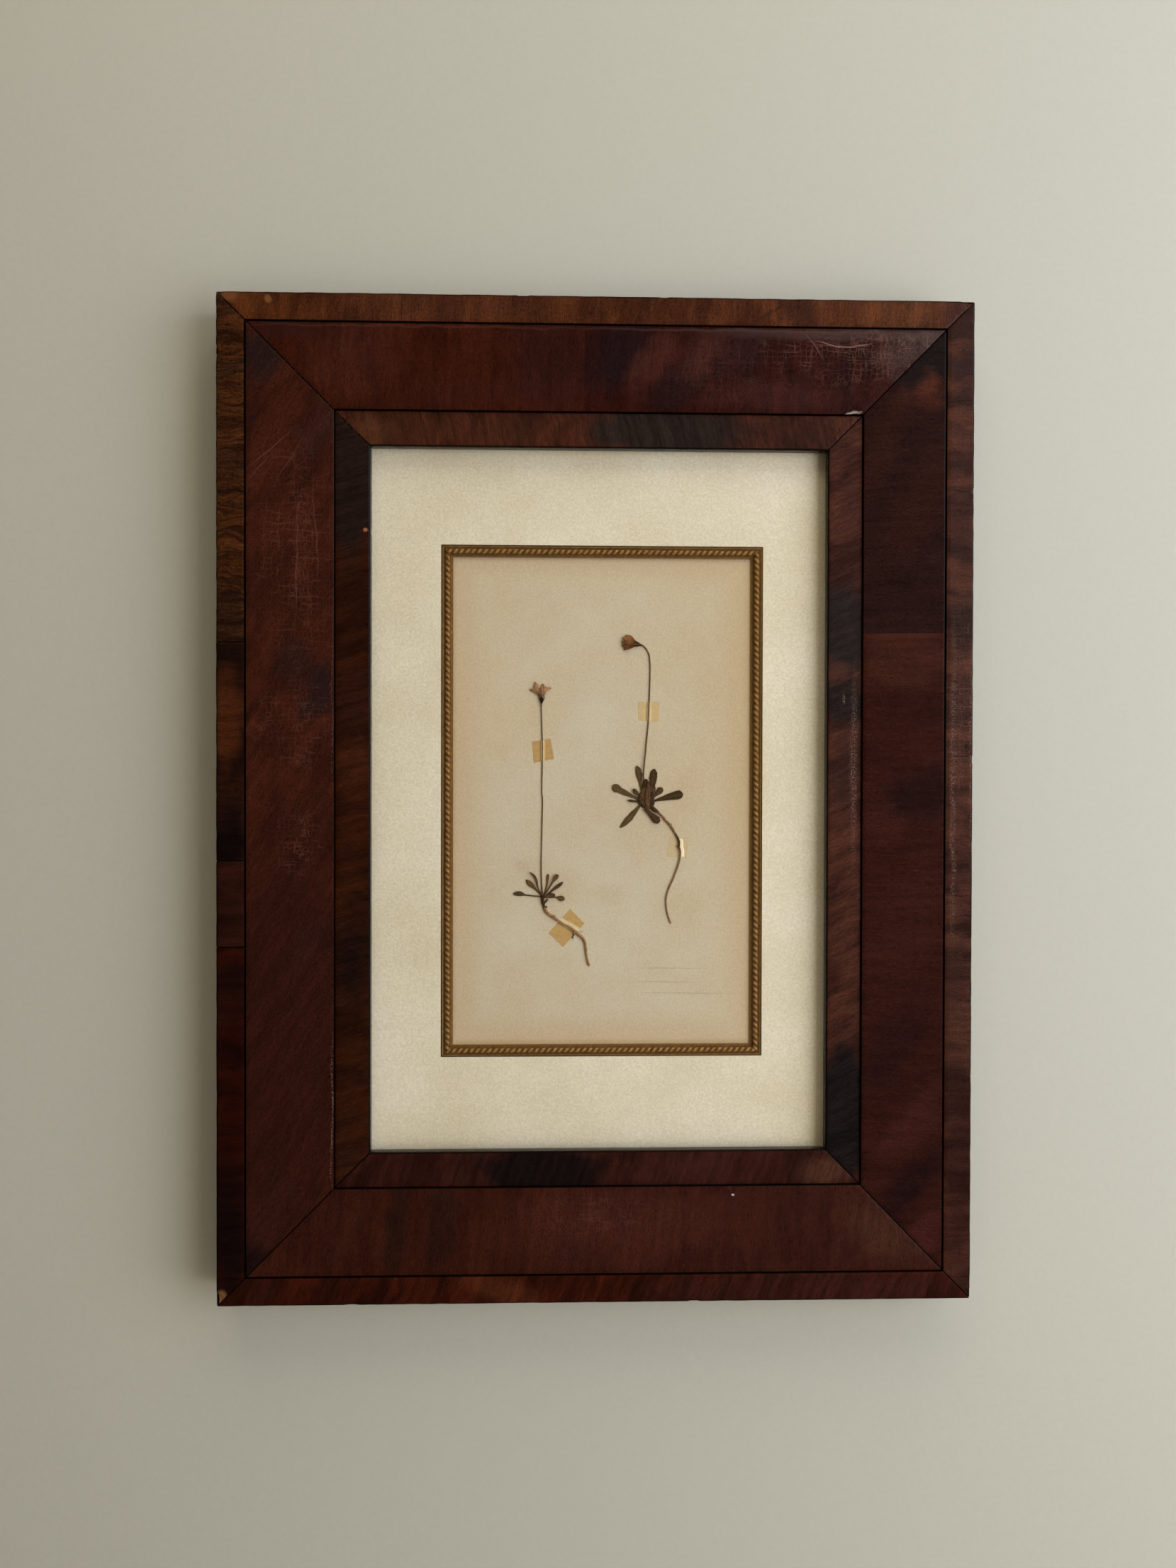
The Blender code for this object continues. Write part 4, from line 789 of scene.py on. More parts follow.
def boardMaterial():
    # strawboard backing: dull grey-brown pulp with darker flecks
    material, tree, place = startMaterial("strawboard")
    pulp = add(tree, "TexNoise", {"Vector": place, "Scale": 1 / 1.6, "Detail": 5.0, "Roughness": 0.7})
    cloud = add(tree, "TexNoise", {"Vector": place, "Scale": 1 / 70, "Detail": 3.0})
    colour = add(tree, "ValToRGB", {"Fac": pulp}, [(0.3, "#77603f"), (0.5, "#9a8159"), (0.72, "#ad9468")])
    colour = shade(tree, colour, (cloud, 0.3, 0.7, 0.8, 1.08))
    return finish(material, {"Base Color": colour, "Roughness": 0.9}, (pulp, 0.4, 0.0004))


dress("glass_pane", glassMaterial())
dress("mat", matMaterial())
dress("specimen_sheet", sheetMaterial())
dress("backing_board", boardMaterial())
print("glass, mat, sheet and board dressed")


# ---- pressed plants: places are x, y in mm from the frame's middle, heights above the sheet ----
def onSheet(x, y, height):
    return Vector((x, sheetFace - height, y + middleHeight)) * mm


def smoothPoint(points, t):
    # a place at 0 to 1 along a smooth curve through the points
    spans = len(points) - 1
    span = min(int(t * spans), spans - 1)
    f = t * spans - span
    a, b = points[max(span - 1, 0)], points[span]
    c, d = points[span + 1], points[min(span + 2, spans)]
    return [0.5 * (2 * q + (r - p) * f + (2 * p - 5 * q + 4 * r - s) * f ** 2
                   + (3 * q - p - 3 * r + s) * f ** 3) for p, q, r, s in zip(a, b, c, d)]


def acrossLine(points, t, step):
    # the way across a line, at 0 to 1 along it
    before, after = [Vector(smoothPoint(points, place)[:2]) for place in (max(t - step, 0), min(t + step, 1))]
    ahead = after - before
    return Vector((-ahead.y, ahead.x)).normalized()


def bladeHalf(t, width, petiole, bladeStart, widest, fullness=0.85):
    # half the width of a blade on its stalk, at 0 to 1 along it
    along = min(max((t - bladeStart) / (1 - bladeStart), 0), 1)
    power = math.log(0.5) / math.log((widest - bladeStart) / (1 - bladeStart))
    blade = max(math.sin(math.pi * along ** power), 0) ** fullness
    stem = petiole * (1 - along ** 2)
    return max(0.5 * (stem + (width - stem) * blade), 0.06)


def faceFront(bm, faces):
    # an open sheet shows its good side to the viewer, before it gets its thickness
    faces[0].normal_update()
    if faces[0].normal.y > 0:
        bmesh.ops.reverse_faces(bm, faces=faces)


def addBlade(bm, line, shape, base, wave, steps, tooth, seed, tint):
    # a leaf, petal or sepal as a thin sheet that follows a line; wave is camber, ripple and midrib, mm
    camber, ripple, midrib = wave
    uv = bm.loops.layers.uv.get("UVMap") or bm.loops.layers.uv.new("UVMap")
    tintLayer = bm.verts.layers.float.get("tint") or bm.verts.layers.float.new("tint")
    grown = bmesh.ops.create_grid(bm, x_segments=steps[0], y_segments=steps[1], size=1)["verts"]
    uvs = {}
    for vert in grown:
        t, side = (vert.co.x + 1) / 2, vert.co.y
        uvs[vert] = (t, (side + 1) / 2)
        jag = 1 + tooth * (noise.noise(Vector((t * 9, seed, math.copysign(2, side))))
                           + 0.5 * noise.noise(Vector((t * 24, seed, math.copysign(5, side)))))
        spread = side * bladeHalf(t, *shape) * jag
        flat = Vector(smoothPoint(line, t)[:2]) + acrossLine(line, t, 0.02) * spread
        rise = camber * (1 - side * side) - midrib * math.exp(-(side * 4) ** 2)
        rise += ripple * noise.noise(Vector((flat.x * 0.8, flat.y * 0.8, seed)))
        vert.co = onSheet(flat.x, flat.y, max(base + rise, 0.05))
        vert[tintLayer] = tint
    faces = list({face for vert in grown for face in vert.link_faces})
    for face in faces:
        for loop in face.loops:
            loop[uv].uv = uvs[loop.vert]
    bmesh.ops.recalc_face_normals(bm, faces=faces)
    faceFront(bm, faces)


stemSquash = 0.6         # how flat stems and roots are pressed
stemBase = 0.3           # how far they lie off the sheet, mm


def addStem(bm, points, sides, steps, bark, seed):
    # a flattened stem or root through (x, y, radius, lift), closed at both ends
    tube = bmesh.ops.create_grid(bm, x_segments=steps, y_segments=sides, size=1)["verts"]
    for vert in tube:
        t, angle = (vert.co.x + 1) / 2, (vert.co.y + 1) * math.pi
        x, y, radius, lift = smoothPoint(points, t)
        ring = Vector((math.cos(angle), math.sin(angle)))
        knobs, wrinkles = [noise.noise(Vector((ring.x * around, ring.y * around, t * steps * along + seed)))
                           for around, along in ((1.6, 0.16), (3.1, 0.05))]
        rough = 1 + bark * (knobs + 0.7 * wrinkles)
        if t <= 0.0001 or t >= 0.9999:
            rough *= 0.45
        out = Vector((x, y)) + acrossLine(points, t, 0.005) * ring.x * radius * rough
        height = stemBase + max(lift, 0) + (radius + ring.y * radius * rough) * stemSquash
        vert.co = onSheet(out.x, out.y, height)
    bmesh.ops.remove_doubles(bm, verts=tube, dist=0.002 * mm)
    own = {v for v in tube if v.is_valid}
    rims = [e for e in bm.edges if len(e.link_faces) == 1 and e.verts[0] in own]
    bmesh.ops.holes_fill(bm, edges=rims, sides=sides + 2)


# leaves: the line of each, its width, petiole, where the blade starts, where it is widest, layer
leaves = {
    "left_leaf_1": ([(-34.6, -60.4), (-43.5, -59.6), (-47.6, -58.7), (-52.1, -58.7)],
                    2.9, 0.6, 0.4, 0.74, 0),
    "left_leaf_2": ([(-34.3, -59.9), (-38.0, -56.0), (-41.2, -52.8), (-44.1, -50.0)],
                    3.0, 0.7, 0.3, 0.72, 0),
    "left_leaf_3": ([(-34.3, -59.2), (-36.7, -55.1), (-37.8, -50.1), (-39.4, -47.1), (-41.9, -45.2)],
                    1.4, 0.6, 0.2, 0.62, 1),
    "left_leaf_4": ([(-33.2, -59.8), (-31.2, -53.3), (-30.7, -49.2), (-30.4, -46.3)],
                    1.5, 0.5, 0.35, 0.75, 0),
    "left_leaf_5": ([(-32.9, -60.0), (-28.0, -51.9), (-25.8, -48.7), (-24.2, -46.6)],
                    2.7, 0.8, 0.2, 0.76, 1),
    "left_leaf_6": ([(-31.9, -60.2), (-27.1, -56.0), (-23.9, -53.7), (-21.0, -51.4)],
                    2.0, 0.6, 0.15, 0.64, 0),
    "left_leaf_7": ([(-32.7, -60.9), (-25.9, -60.9), (-22.8, -61.5), (-20.0, -61.9)],
                    3.4, 0.7, 0.4, 0.74, 0),
    "left_leaf_8": ([(-32.2, -60.4), (-28.5, -59.8), (-26.0, -59.3)], 3.1, 1.4, 0.05, 0.55, 1),
    "right_leaf_1": ([(26.4, 1.0), (21.6, 3.2), (13.6, 7.1), (10.2, 9.5)], 4.9, 1.5, 0.15, 0.75, 0),
    "right_leaf_2": ([(26.4, 3.6), (24.6, 5.4), (23.1, 7.3)], 2.8, 1.4, 0.0, 0.6, 1),
    "right_leaf_3": ([(26.4, -0.6), (23.0, -0.3), (19.6, 0.1)], 1.5, 1.0, 0.1, 0.7, 1),
    "right_leaf_4": ([(27.9, -2.3), (24.0, -7.2), (20.3, -11.6), (15.0, -17.0)], 3.7, 0.9, 0.05, 0.6, 0),
    "right_leaf_5": ([(30.4, -5.0), (33.4, -7.8), (37.2, -11.4), (38.8, -14.2)], 4.8, 2.0, 0.15, 0.74, 1),
    "right_leaf_6": ([(35.4, -0.4), (40.1, 0.9), (49.9, 3.3), (54.4, 4.3)], 5.5, 1.0, 0.05, 0.74, 0),
    "right_leaf_7": ([(35.9, 2.4), (38.8, 5.2), (41.4, 8.0)], 4.1, 1.5, 0.1, 0.7, 0),
    "right_leaf_8": ([(35.2, 8.4), (35.6, 14.0), (36.4, 19.9)], 4.8, 2.4, 0.0, 0.58, 0),
    "right_leaf_9": ([(28.4, 6.8), (27.4, 13.2), (26.7, 17.4), (25.3, 21.8)], 4.0, 1.2, 0.0, 0.66, 0),
}
leafShape = {"layer": 0.85, "base": 0.3, "wave": (0.16, 0.22, 0.10), "steps": (44, 12), "thickness": 0.22,
             "tooth": 0.17, "narrowTooth": 0.12,
             "browned": ("right_leaf_3", "right_leaf_5", "right_leaf_7", "left_leaf_6", "left_leaf_8")}


def alongUv(tree):
    # on a blade: how far along it, across it and from its midrib
    parts = add(tree, "SeparateXYZ", {0: add(tree, "UVMap", uv_map="UVMap").outputs["UV"]})
    off = add(tree, "Math", {0: parts.outputs["Y"], 1: 0.5}, operation="SUBTRACT")
    return parts.outputs["X"], parts.outputs["Y"], add(tree, "Math", {0: off}, operation="ABSOLUTE")


def ribbed(tree, source, count, low, high):
    # tone of fine veins, by a sine along or across the blade
    veins = add(tree, "Math", {0: source, 1: count}, operation="MULTIPLY")
    wave = add(tree, "Math", {0: veins}, operation="SINE")
    return add(tree, "MapRange", {"Value": wave, "From Min": -1.0, "From Max": 1.0,
                                  "To Min": low, "To Max": high})


def tinted(tree, place, size, low, high, dull, fresh):
    # each blade's own tint, blotched
    blotch = add(tree, "TexNoise", {"Vector": place, "Scale": 1 / size, "Detail": 4.0, "Roughness": 0.6})
    tint = add(tree, "Attribute", attribute_name="tint").outputs["Fac"]
    mixed = add(tree, "Math", {0: blotch, 1: tint}, operation="ADD")
    return blotch, blend(tree, dull, fresh, mixed, low, high)


def leafMaterial(name, young, old, margin):
    # dried leaf: dull olive brown, matt, a paler midrib and dark shrunken margins
    material, tree, place = startMaterial(name)
    along, _, aside = alongUv(tree)
    blotch, colour = tinted(tree, place, 1.6, 0.8, 1.2, old, young)
    colour = blend(tree, colour, "#715837", aside, 0.02, 0.06, 0.35, 0.0)
    edge = add(tree, "MapRange", {"Value": aside, "From Min": 0.38, "From Max": 0.49,
                                  "To Min": 0.0, "To Max": 0.7})
    tip = add(tree, "MapRange", {"Value": along, "From Min": 0.93, "From Max": 1.0,
                                 "To Min": 0.0, "To Max": 0.7})
    edge = add(tree, "Math", {0: edge, 1: tip}, operation="MAXIMUM")
    colour = add(tree, "Mix", {"Factor": edge, "A": colour, "B": margin}, data_type="RGBA")
    # side veins slant away from the midrib
    slant = add(tree, "Math", {0: along, 1: aside}, operation="SUBTRACT")
    veins = ribbed(tree, slant, 75.0, 0.9, 1.08)
    colour = add(tree, "VectorMath", {0: colour, "Scale": veins}, operation="SCALE")
    relief = add(tree, "Math", {0: blotch, 1: veins}, operation="ADD")
    return finish(material, {"Base Color": colour, "Roughness": 0.7, "Specular IOR Level": 0.35},
                  (relief, 0.5, 0.0002))


oliveLeaf = leafMaterial("dried olive leaf", "#594424", "#3b2a11", "#201404")
brownLeaf = leafMaterial("dried crown leaf", "#553b24", "#3a2714", "#241608")

for index, (name, (line, width, petiole, bladeStart, widest, layer)) in enumerate(leaves.items()):
    bm = bmesh.new()
    addBlade(bm, line, (width, petiole, bladeStart, widest), leafShape["base"] + layer * leafShape["layer"],
             leafShape["wave"], leafShape["steps"], leafShape["tooth" if width > 1.6 else "narrowTooth"],
             index * 3.7, (0.45 if name.startswith("left") else 0.2) + 0.45 * ((index * 0.618) % 1))
    makePiece(name + "_pressed", bm, brownLeaf if name in leafShape["browned"] else oliveLeaf,
              [name], 180, leafShape["thickness"])


# the clump of young leaves at the middle of the right rosette: line, width, height
crownLeaves = [
    ([(32.6, 0.5), (31.6, 6.0), (31.0, 10.5), (31.0, 13.6)], 4.6, 0.35),
    ([(33.4, 0.0), (34.8, 4.0), (35.6, 7.0), (36.6, 9.0)], 3.0, 0.45),
    ([(31.0, 1.0), (28.6, 3.0), (26.6, 3.8)], 3.6, 0.4),
    ([(31.0, -1.0), (28.0, -1.2), (26.0, 0.6)], 3.4, 0.45),
    ([(31.0, -2.0), (29.4, -3.4), (29.0, -4.2)], 3.4, 0.4),
    ([(33.0, -2.0), (34.6, -3.4), (35.8, -3.6)], 3.2, 0.42),
    ([(31.4, -4.6), (30.8, 0.0), (30.2, 4.0), (29.6, 8.6)], 4.8, 0.95),
    ([(33.4, -5.0), (33.6, 0.0), (33.2, 4.0), (34.0, 9.6)], 4.6, 0.9),
    ([(32.4, -5.4), (32.2, -1.0), (32.2, 3.0), (32.6, 12.0)], 3.8, 1.35),
    ([(30.0, -3.4), (28.4, 0.0), (27.8, 2.0), (28.2, 4.6)], 3.0, 1.3),
    ([(34.6, -4.2), (35.2, -1.0), (34.9, 2.0), (35.3, 5.4)], 2.4, 1.3),
]
crownShape = {"petiole": 1.8, "widest": 0.55, "fullness": 0.7, "wave": (0.35, 0.55, 0.2), "steps": (30, 12),
              "tooth": 0.4, "thickness": 0.2}

bm = bmesh.new()
for index, (line, width, height) in enumerate(crownLeaves):
    addBlade(bm, line, (width, crownShape["petiole"], 0.0, crownShape["widest"], crownShape["fullness"]),
             height, crownShape["wave"], crownShape["steps"], crownShape["tooth"],
             40 + index * 5.1, 0.2 + 0.6 * ((index * 0.618) % 1))
makePiece("right_crown_pressed", bm, brownLeaf, ["right_crown"], 180, crownShape["thickness"])
print("leaves done")


# stems and roots: x, y, radius, lift above the sheet, from the top down
stems = {
    "left_stalk": [(-34.7, 64.6, 0.8, 0.5), (-34.7, 63.2, 0.78, 0.5), (-34.8, 62.0, 0.6, 0.45),
        (-34.9, 60.5, 0.38, 0.3), (-34.8, 54.3, 0.31, 0), (-34.3, 40.1, 0.33, 0), (-34.1, 31.0, 0.32, 0),
        (-34.3, 17.4, 0.34, 0), (-34.5, 6.0, 0.32, 0), (-34.0, -0.8, 0.34, 0), (-34.4, -20.0, 0.33, 0),
        (-34.8, -41.2, 0.35, 0), (-34.5, -52.0, 0.38, 0), (-34.0, -59.6, 0.46, 0.1)],
    "right_stalk": [(24.6, 98.5, 0.8, 0.55), (25.8, 98.3, 0.95, 0.55), (27.2, 97.9, 0.75, 0.45),
        (29.1, 97.3, 0.42, 0.2), (31.1, 95.2, 0.36, 0), (32.7, 92.1, 0.36, 0), (33.3, 87.7, 0.36, 0),
        (33.5, 81.5, 0.36, 0), (33.3, 72.7, 0.36, 0), (33.0, 63.9, 0.37, 0), (32.6, 54.6, 0.37, 0),
        (32.2, 46.4, 0.37, 0), (31.2, 36.4, 0.39, 0), (30.3, 26.6, 0.42, 0.6), (29.4, 17.7, 0.46, 0.7),
        (29.5, 12.6, 0.5, 1.3)],
    "left_root": [(-33.9, -59.4, 0.55, 0), (-33.8, -60.6, 1.1, 0), (-33.8, -62.2, 0.95, 0),
        (-33.8, -63.8, 0.9, 0), (-33.0, -66.5, 0.8, 0), (-31.6, -69.7, 0.9, 0), (-29.4, -71.7, 0.85, 0),
        (-26.6, -73.6, 0.92, 0), (-23.9, -75.6, 0.63, 0), (-20.3, -77.9, 0.6, 0), (-17.1, -79.5, 0.67, 0),
        (-14.3, -81.6, 0.88, 0), (-11.6, -83.9, 0.94, 0), (-9.3, -85.7, 0.84, 0), (-7.5, -88.4, 0.76, 0),
        (-6.8, -91.2, 0.67, 0), (-6.5, -94.4, 0.71, 0), (-5.9, -98.5, 0.6, 0), (-5.2, -101.7, 0.66, 0),
        (-4.4, -104.1, 0.63, 0)],
    "right_root": [(34.6, -4.4, 1.2, 0), (36.2, -5.6, 1.3, 0), (37.6, -6.6, 1.0, 0), (39.6, -8.1, 0.63, 0),
        (41.7, -10.1, 0.63, 0), (43.8, -12.6, 0.67, 0), (46.5, -15.4, 0.74, 0), (48.9, -19.4, 0.63, 0),
        (50.7, -22.6, 0.59, 0), (52.0, -26.0, 0.67, 0), (51.9, -29.2, 0.7, 0), (52.8, -32.2, 0.55, 0),
        (52.3, -37.8, 0.59, 0), (51.2, -41.5, 0.55, 0), (48.7, -48.5, 0.52, 0), (45.6, -55.4, 0.52, 0),
        (44.0, -61.0, 0.48, 0), (44.0, -66.1, 0.48, 0), (45.0, -71.8, 0.44, 0), (47.0, -77.4, 0.44, 0)],
}
# side shoots, knobs, hairs and twigs: points as above, from the root outwards
shoots = {
    "left": [[(-33.4, -65.3, 0.55, 0.1), (-31.8, -63.6, 0.45, 0.1), (-30.4, -62.2, 0.5, 0.1)],
             [(-32.4, -67.4, 0.5, 0.1), (-31.7, -67.0, 0.6, 0.1), (-31.1, -66.6, 0.5, 0.1)],
             [(-14.6, -82.6, 0.4, 0.1), (-14.2, -83.6, 0.5, 0.1), (-13.9, -84.7, 0.35, 0.1)],
             [(-14.0, -84.4, 0.3, 0.1), (-14.8, -85.6, 0.26, 0.1), (-15.4, -86.6, 0.3, 0.1)],
             [(-14.9, -86.0, 0.2, 0.1), (-14.6, -86.7, 0.2, 0.1), (-14.8, -87.2, 0.15, 0.1)],
             [(-6.4, -92.9, 0.45, 0.1), (-5.9, -93.0, 0.5, 0.1), (-5.4, -93.0, 0.4, 0.1)],
             [(-26.8, -72.9, 0.4, 0.1), (-26.2, -72.4, 0.45, 0.1), (-26.0, -72.1, 0.3, 0.1)],
             [(-10.6, -82.9, 0.14, 0.3), (-9.4, -82.6, 0.1, 0.2), (-7.6, -82.9, 0.07, 0.1)]],
    "right": [[(46.3, -15.2, 0.45, 0.1), (46.9, -14.9, 0.5, 0.1), (47.3, -14.6, 0.35, 0.1)],
              [(51.2, -28.6, 0.5, 0.1), (50.9, -28.9, 0.5, 0.1), (50.7, -29.3, 0.3, 0.1)],
              [(52.2, -26.2, 0.4, 0.1), (52.6, -25.9, 0.45, 0.1), (53.0, -25.5, 0.3, 0.1)],
              [(36.6, -5.4, 0.5, 0.5), (38.2, -6.2, 0.5, 0.5), (39.6, -7.6, 0.3, 0.4)]],
}
# sepals: line, width
calyces = {
    "left": [([(-35.0, 61.2), (-35.7, 63.4), (-36.5, 65.2)], 0.75),
             ([(-34.4, 61.4), (-33.5, 63.4), (-32.5, 65.3)], 0.75),
             ([(-34.8, 61.0), (-35.0, 63.0), (-35.1, 64.5)], 0.85),
             ([(-34.6, 61.0), (-34.4, 63.0), (-34.3, 64.8)], 0.85)],
    "right": [([(27.2, 98.2), (24.8, 99.6), (22.0, 100.2)], 1.0),
              ([(27.2, 97.8), (24.8, 97.2), (22.2, 96.9)], 1.0),
              ([(27.4, 98.0), (24.8, 98.8), (21.9, 99.0)], 1.1),
              ([(27.4, 98.0), (24.8, 98.2), (22.0, 97.9)], 1.1)],
}
# faces round, rings along, how rough the bark is
stemShape = {"stalk": (10, 260, 0.10), "root": (20, 320, 0.22), "shoot": (10, 22, 0.3)}
sepalShape = {"petiole": 0.5, "widest": 0.4, "heights": (1.1, 1.7), "wave": (0.2, 0.1, 0.0),
              "steps": (14, 6), "tooth": 0.1}


def barkMaterial(name, crest, groove, dark, darkPlaces):
    # dried root or stalk: shrunken bark with lengthwise wrinkles, matt
    material, tree, place = startMaterial(name)
    blotch = add(tree, "TexNoise", {"Vector": place, "Scale": 1 / 1.3, "Detail": 5.0, "Roughness": 0.65})
    wrinkle = add(tree, "TexNoise", {"Vector": place, "Scale": 2.4, "Detail": 3.0, "Roughness": 0.6})
    colour = blend(tree, groove, crest, blotch, 0.36, 0.66)
    colour = stain(tree, place, colour, [(*spot, dark, 1.0) for spot in darkPlaces])
    colour = shade(tree, colour, (wrinkle, 0.36, 0.64, 0.62, 1.3))
    return finish(material, {"Base Color": colour, "Roughness": 0.75, "Specular IOR Level": 0.3},
                  (wrinkle, 0.6, 0.0002))


bark = {
    "left_root": barkMaterial("dried left root bark", "#aa8054", "#704f2e", "#38230f",
                              [(-33.6, -62.5, 3.0, 5.0, 0, 0.4), (-14.8, -85.8, 1.6, 2.6, -30, 0.3),
                               (-31.3, -66.8, 1.0, 0.8, 0, 0.4)]),
    "right_root": barkMaterial("dried right root bark", "#9b7450", "#61442a", "#3f2813",
                               [(36.0, -5.5, 4.0, 3.0, 0, 0.5), (51.2, -26.0, 2.6, 5.0, 0, 0.5)]),
    "stalk": barkMaterial("dried stalk", "#664828", "#3f2a13", "#1d1208",
                          [(-34.7, 62.6, 1.8, 1.9, 0, 0.4), (25.6, 99.3, 3.0, 0.6, 12, 0.4),
                           (25.6, 97.0, 3.0, 0.6, -12, 0.4)]),
}

for side, seed in (("left", 3.0), ("right", 8.0)):
    stalk = side + "_stalk"
    bm = bmesh.new()
    addStem(bm, stems[stalk], *stemShape["stalk"], seed)
    for index, (line, width) in enumerate(calyces[side]):
        addBlade(bm, line, (width, sepalShape["petiole"], 0.0, sepalShape["widest"]),
                 sepalShape["heights"][index > 1], sepalShape["wave"], sepalShape["steps"],
                 sepalShape["tooth"], 70 + index, 0.4)
    makePiece(stalk + "_pressed", bm, bark["stalk"], [stalk], 180)

for side, seed in (("left", 12.0), ("right", 21.0)):
    root = side + "_root"
    bm = bmesh.new()
    addStem(bm, stems[root], *stemShape["root"], seed)
    for index, shoot in enumerate(shoots[side]):
        addStem(bm, shoot, *stemShape["shoot"], 30.0 + index)
    makePiece(root + "_pressed", bm, bark[root], [root], 180)
print("stalks and roots done")


# flowers: each petal is line, width, height above the sheet, tint
petals = {
    "left": [([(-34.8, 64.0), (-36.6, 66.8), (-38.8, 68.8), (-42.3, 69.4)], 3.0, 0.7, 0.5),
             ([(-34.9, 64.0), (-36.2, 67.8), (-37.5, 70.8), (-38.8, 74.4)], 4.0, 1.0, 0.8),
             ([(-34.5, 64.0), (-34.5, 67.6), (-34.0, 70.4), (-33.8, 73.2)], 3.8, 0.7, 0.6),
             ([(-34.3, 64.0), (-33.2, 67.0), (-31.9, 69.9), (-28.6, 70.5)], 3.4, 0.9, 0.9),
             ([(-34.6, 63.6), (-34.8, 66.0), (-35.2, 68.2), (-35.5, 70.6)], 3.0, 1.3, 0.1)],
    "right": [([(26.0, 98.9), (23.2, 100.6), (21.0, 102.4), (18.0, 103.9)], 3.2, 0.8, 0.9),
              ([(26.0, 98.7), (22.4, 99.9), (19.0, 101.4), (16.0, 102.2)], 3.6, 1.0, 1.0),
              ([(26.0, 98.5), (22.0, 99.0), (18.8, 99.6), (15.3, 99.4)], 3.6, 1.2, 0.6),
              ([(26.0, 98.2), (22.0, 98.0), (18.6, 97.6), (15.6, 97.4)], 3.4, 0.9, 0.4),
              ([(26.0, 97.8), (22.4, 96.9), (19.4, 96.2), (16.8, 94.6)], 3.0, 1.1, 0.5),
              ([(26.0, 98.3), (22.6, 98.6), (19.6, 99.2), (17.4, 101.0)], 3.2, 1.5, 0.7)],
}
petalShape = {"narrow": 0.84, "stem": 0.95, "widest": 0.66, "fullness": 1.3, "wave": (0.25, 0.3, 0.05),
              "steps": (40, 16), "tooth": 0.3, "thickness": 0.12}


def petalMaterial(name, pale, mid, deep):
    # pressed petal: papery, faded, with fine lengthwise veins, a pale rim partly painted as highlight, and a
    # dark foot and tip, the foot partly painted shade
    material, tree, place = startMaterial(name)
    along, across, aside = alongUv(tree)
    _, colour = tinted(tree, place, 1.1, 0.85, 1.5, mid, pale)
    # darker towards the foot: partly the petal's own colour, partly painted shade
    colour = blend(tree, colour, deep, along, 0.15, 0.55, 0.85, 0.0)
    # paler towards the rim: partly the petal's own colour, partly a painted highlight on the curled edge
    colour = blend(tree, colour, pale, aside, 0.3, 0.47, 0.0, 0.5)
    colour = blend(tree, colour, deep, along, 0.88, 1.0, 0.0, 0.75)
    veins = ribbed(tree, across, 44.0, 0.88, 1.08)
    colour = add(tree, "VectorMath", {0: colour, "Scale": veins}, operation="SCALE")
    return finish(material, {"Base Color": colour, "Roughness": 0.7, "Specular IOR Level": 0.3},
                  (veins, 0.4, 0.0001))


for side, slot, material in (
        ("left", "petal_pink", petalMaterial("faded pink petal", "#a9825b", "#765435", "#4a2f1b")),
        ("right", "petal_rust", petalMaterial("rusty petal", "#82572e", "#4d2f16", "#321a0a"))):
    bm = bmesh.new()
    for index, (line, width, height, tint) in enumerate(petals[side]):
        shape = (width * petalShape["narrow"], petalShape["stem"], 0.0, petalShape["widest"],
                 petalShape["fullness"])
        addBlade(bm, line, shape, height, petalShape["wave"], petalShape["steps"], petalShape["tooth"],
                 90 + index * 2.3 + len(petals[side]), tint)
    makePiece(side + "_flower_pressed", bm, material, [side + "_flower"], 180, petalShape["thickness"])
print("flowers done")


# ---- four bits of old clear tape ----
# corners; the stem each one holds; gum and hides: its amber and how much that hides; tent: how far it
# stands off left and right of the stem; clear: how much that part hides; ridge: height of its creases
tapes = {
    "tape_1": {"corners": [(-40.7, 36.9), (-29.0, 38.8), (-26.8, 26.2), (-39.6, 23.6)],
               "stem": "left_stalk", "gum": "#b28f5a", "hides": 0.76, "tent": (0.5, 0.6), "clear": 0.3,
               "ridge": 0.0},
    "tape_2": {"corners": [(25.8, 62.3), (40.0, 62.2), (38.8, 49.5), (26.2, 50.5)], "stem": "right_stalk",
               "gum": "#c3a877", "hides": 0.5, "tent": (0.5, 0.6), "clear": 0.2, "ridge": 0.0},
    "tape_3": {"corners": [(-16.5, -68.3), (-7.4, -77.3), (-21.0, -92.2), (-30.0, -83.3)],
               "stem": "left_root", "gum": "#b5925a", "hides": 0.72, "tent": (0.15, 1.8), "clear": 0.34,
               "ridge": 0.0},
    "tape_4": {"corners": [(45.9, -23.0), (58.1, -23.7), (56.9, -36.1), (44.0, -35.3)],
               "stem": "right_root", "gum": "#bda97f", "hides": 0.3, "tent": (0.5, 0.8), "clear": 0.1,
               "ridge": 0.5},
}
# the near-white is a painted highlight on the lifted creases
tapeLook = {"clear": "#ccb889", "paintedGlint": "#fbeccb", "height": 0.17, "thickness": 0.06}


def stemDistance(points, x, y):
    # signed distance to a stem (positive on its right, seen from the front) and the stem's top there
    nearest, top = 1e9, 0.0
    for index in range(201):
        px, py, radius, lift = smoothPoint(points, index / 200)
        away = math.hypot(px - x, py - y)
        if away < abs(nearest) + radius:
            gap = max(away - radius, 0)
            if gap < abs(nearest) or index == 0:
                nearest = gap if x >= px else -gap
                top = stemBase + max(lift, 0) + 2 * radius * stemSquash
    return nearest, top


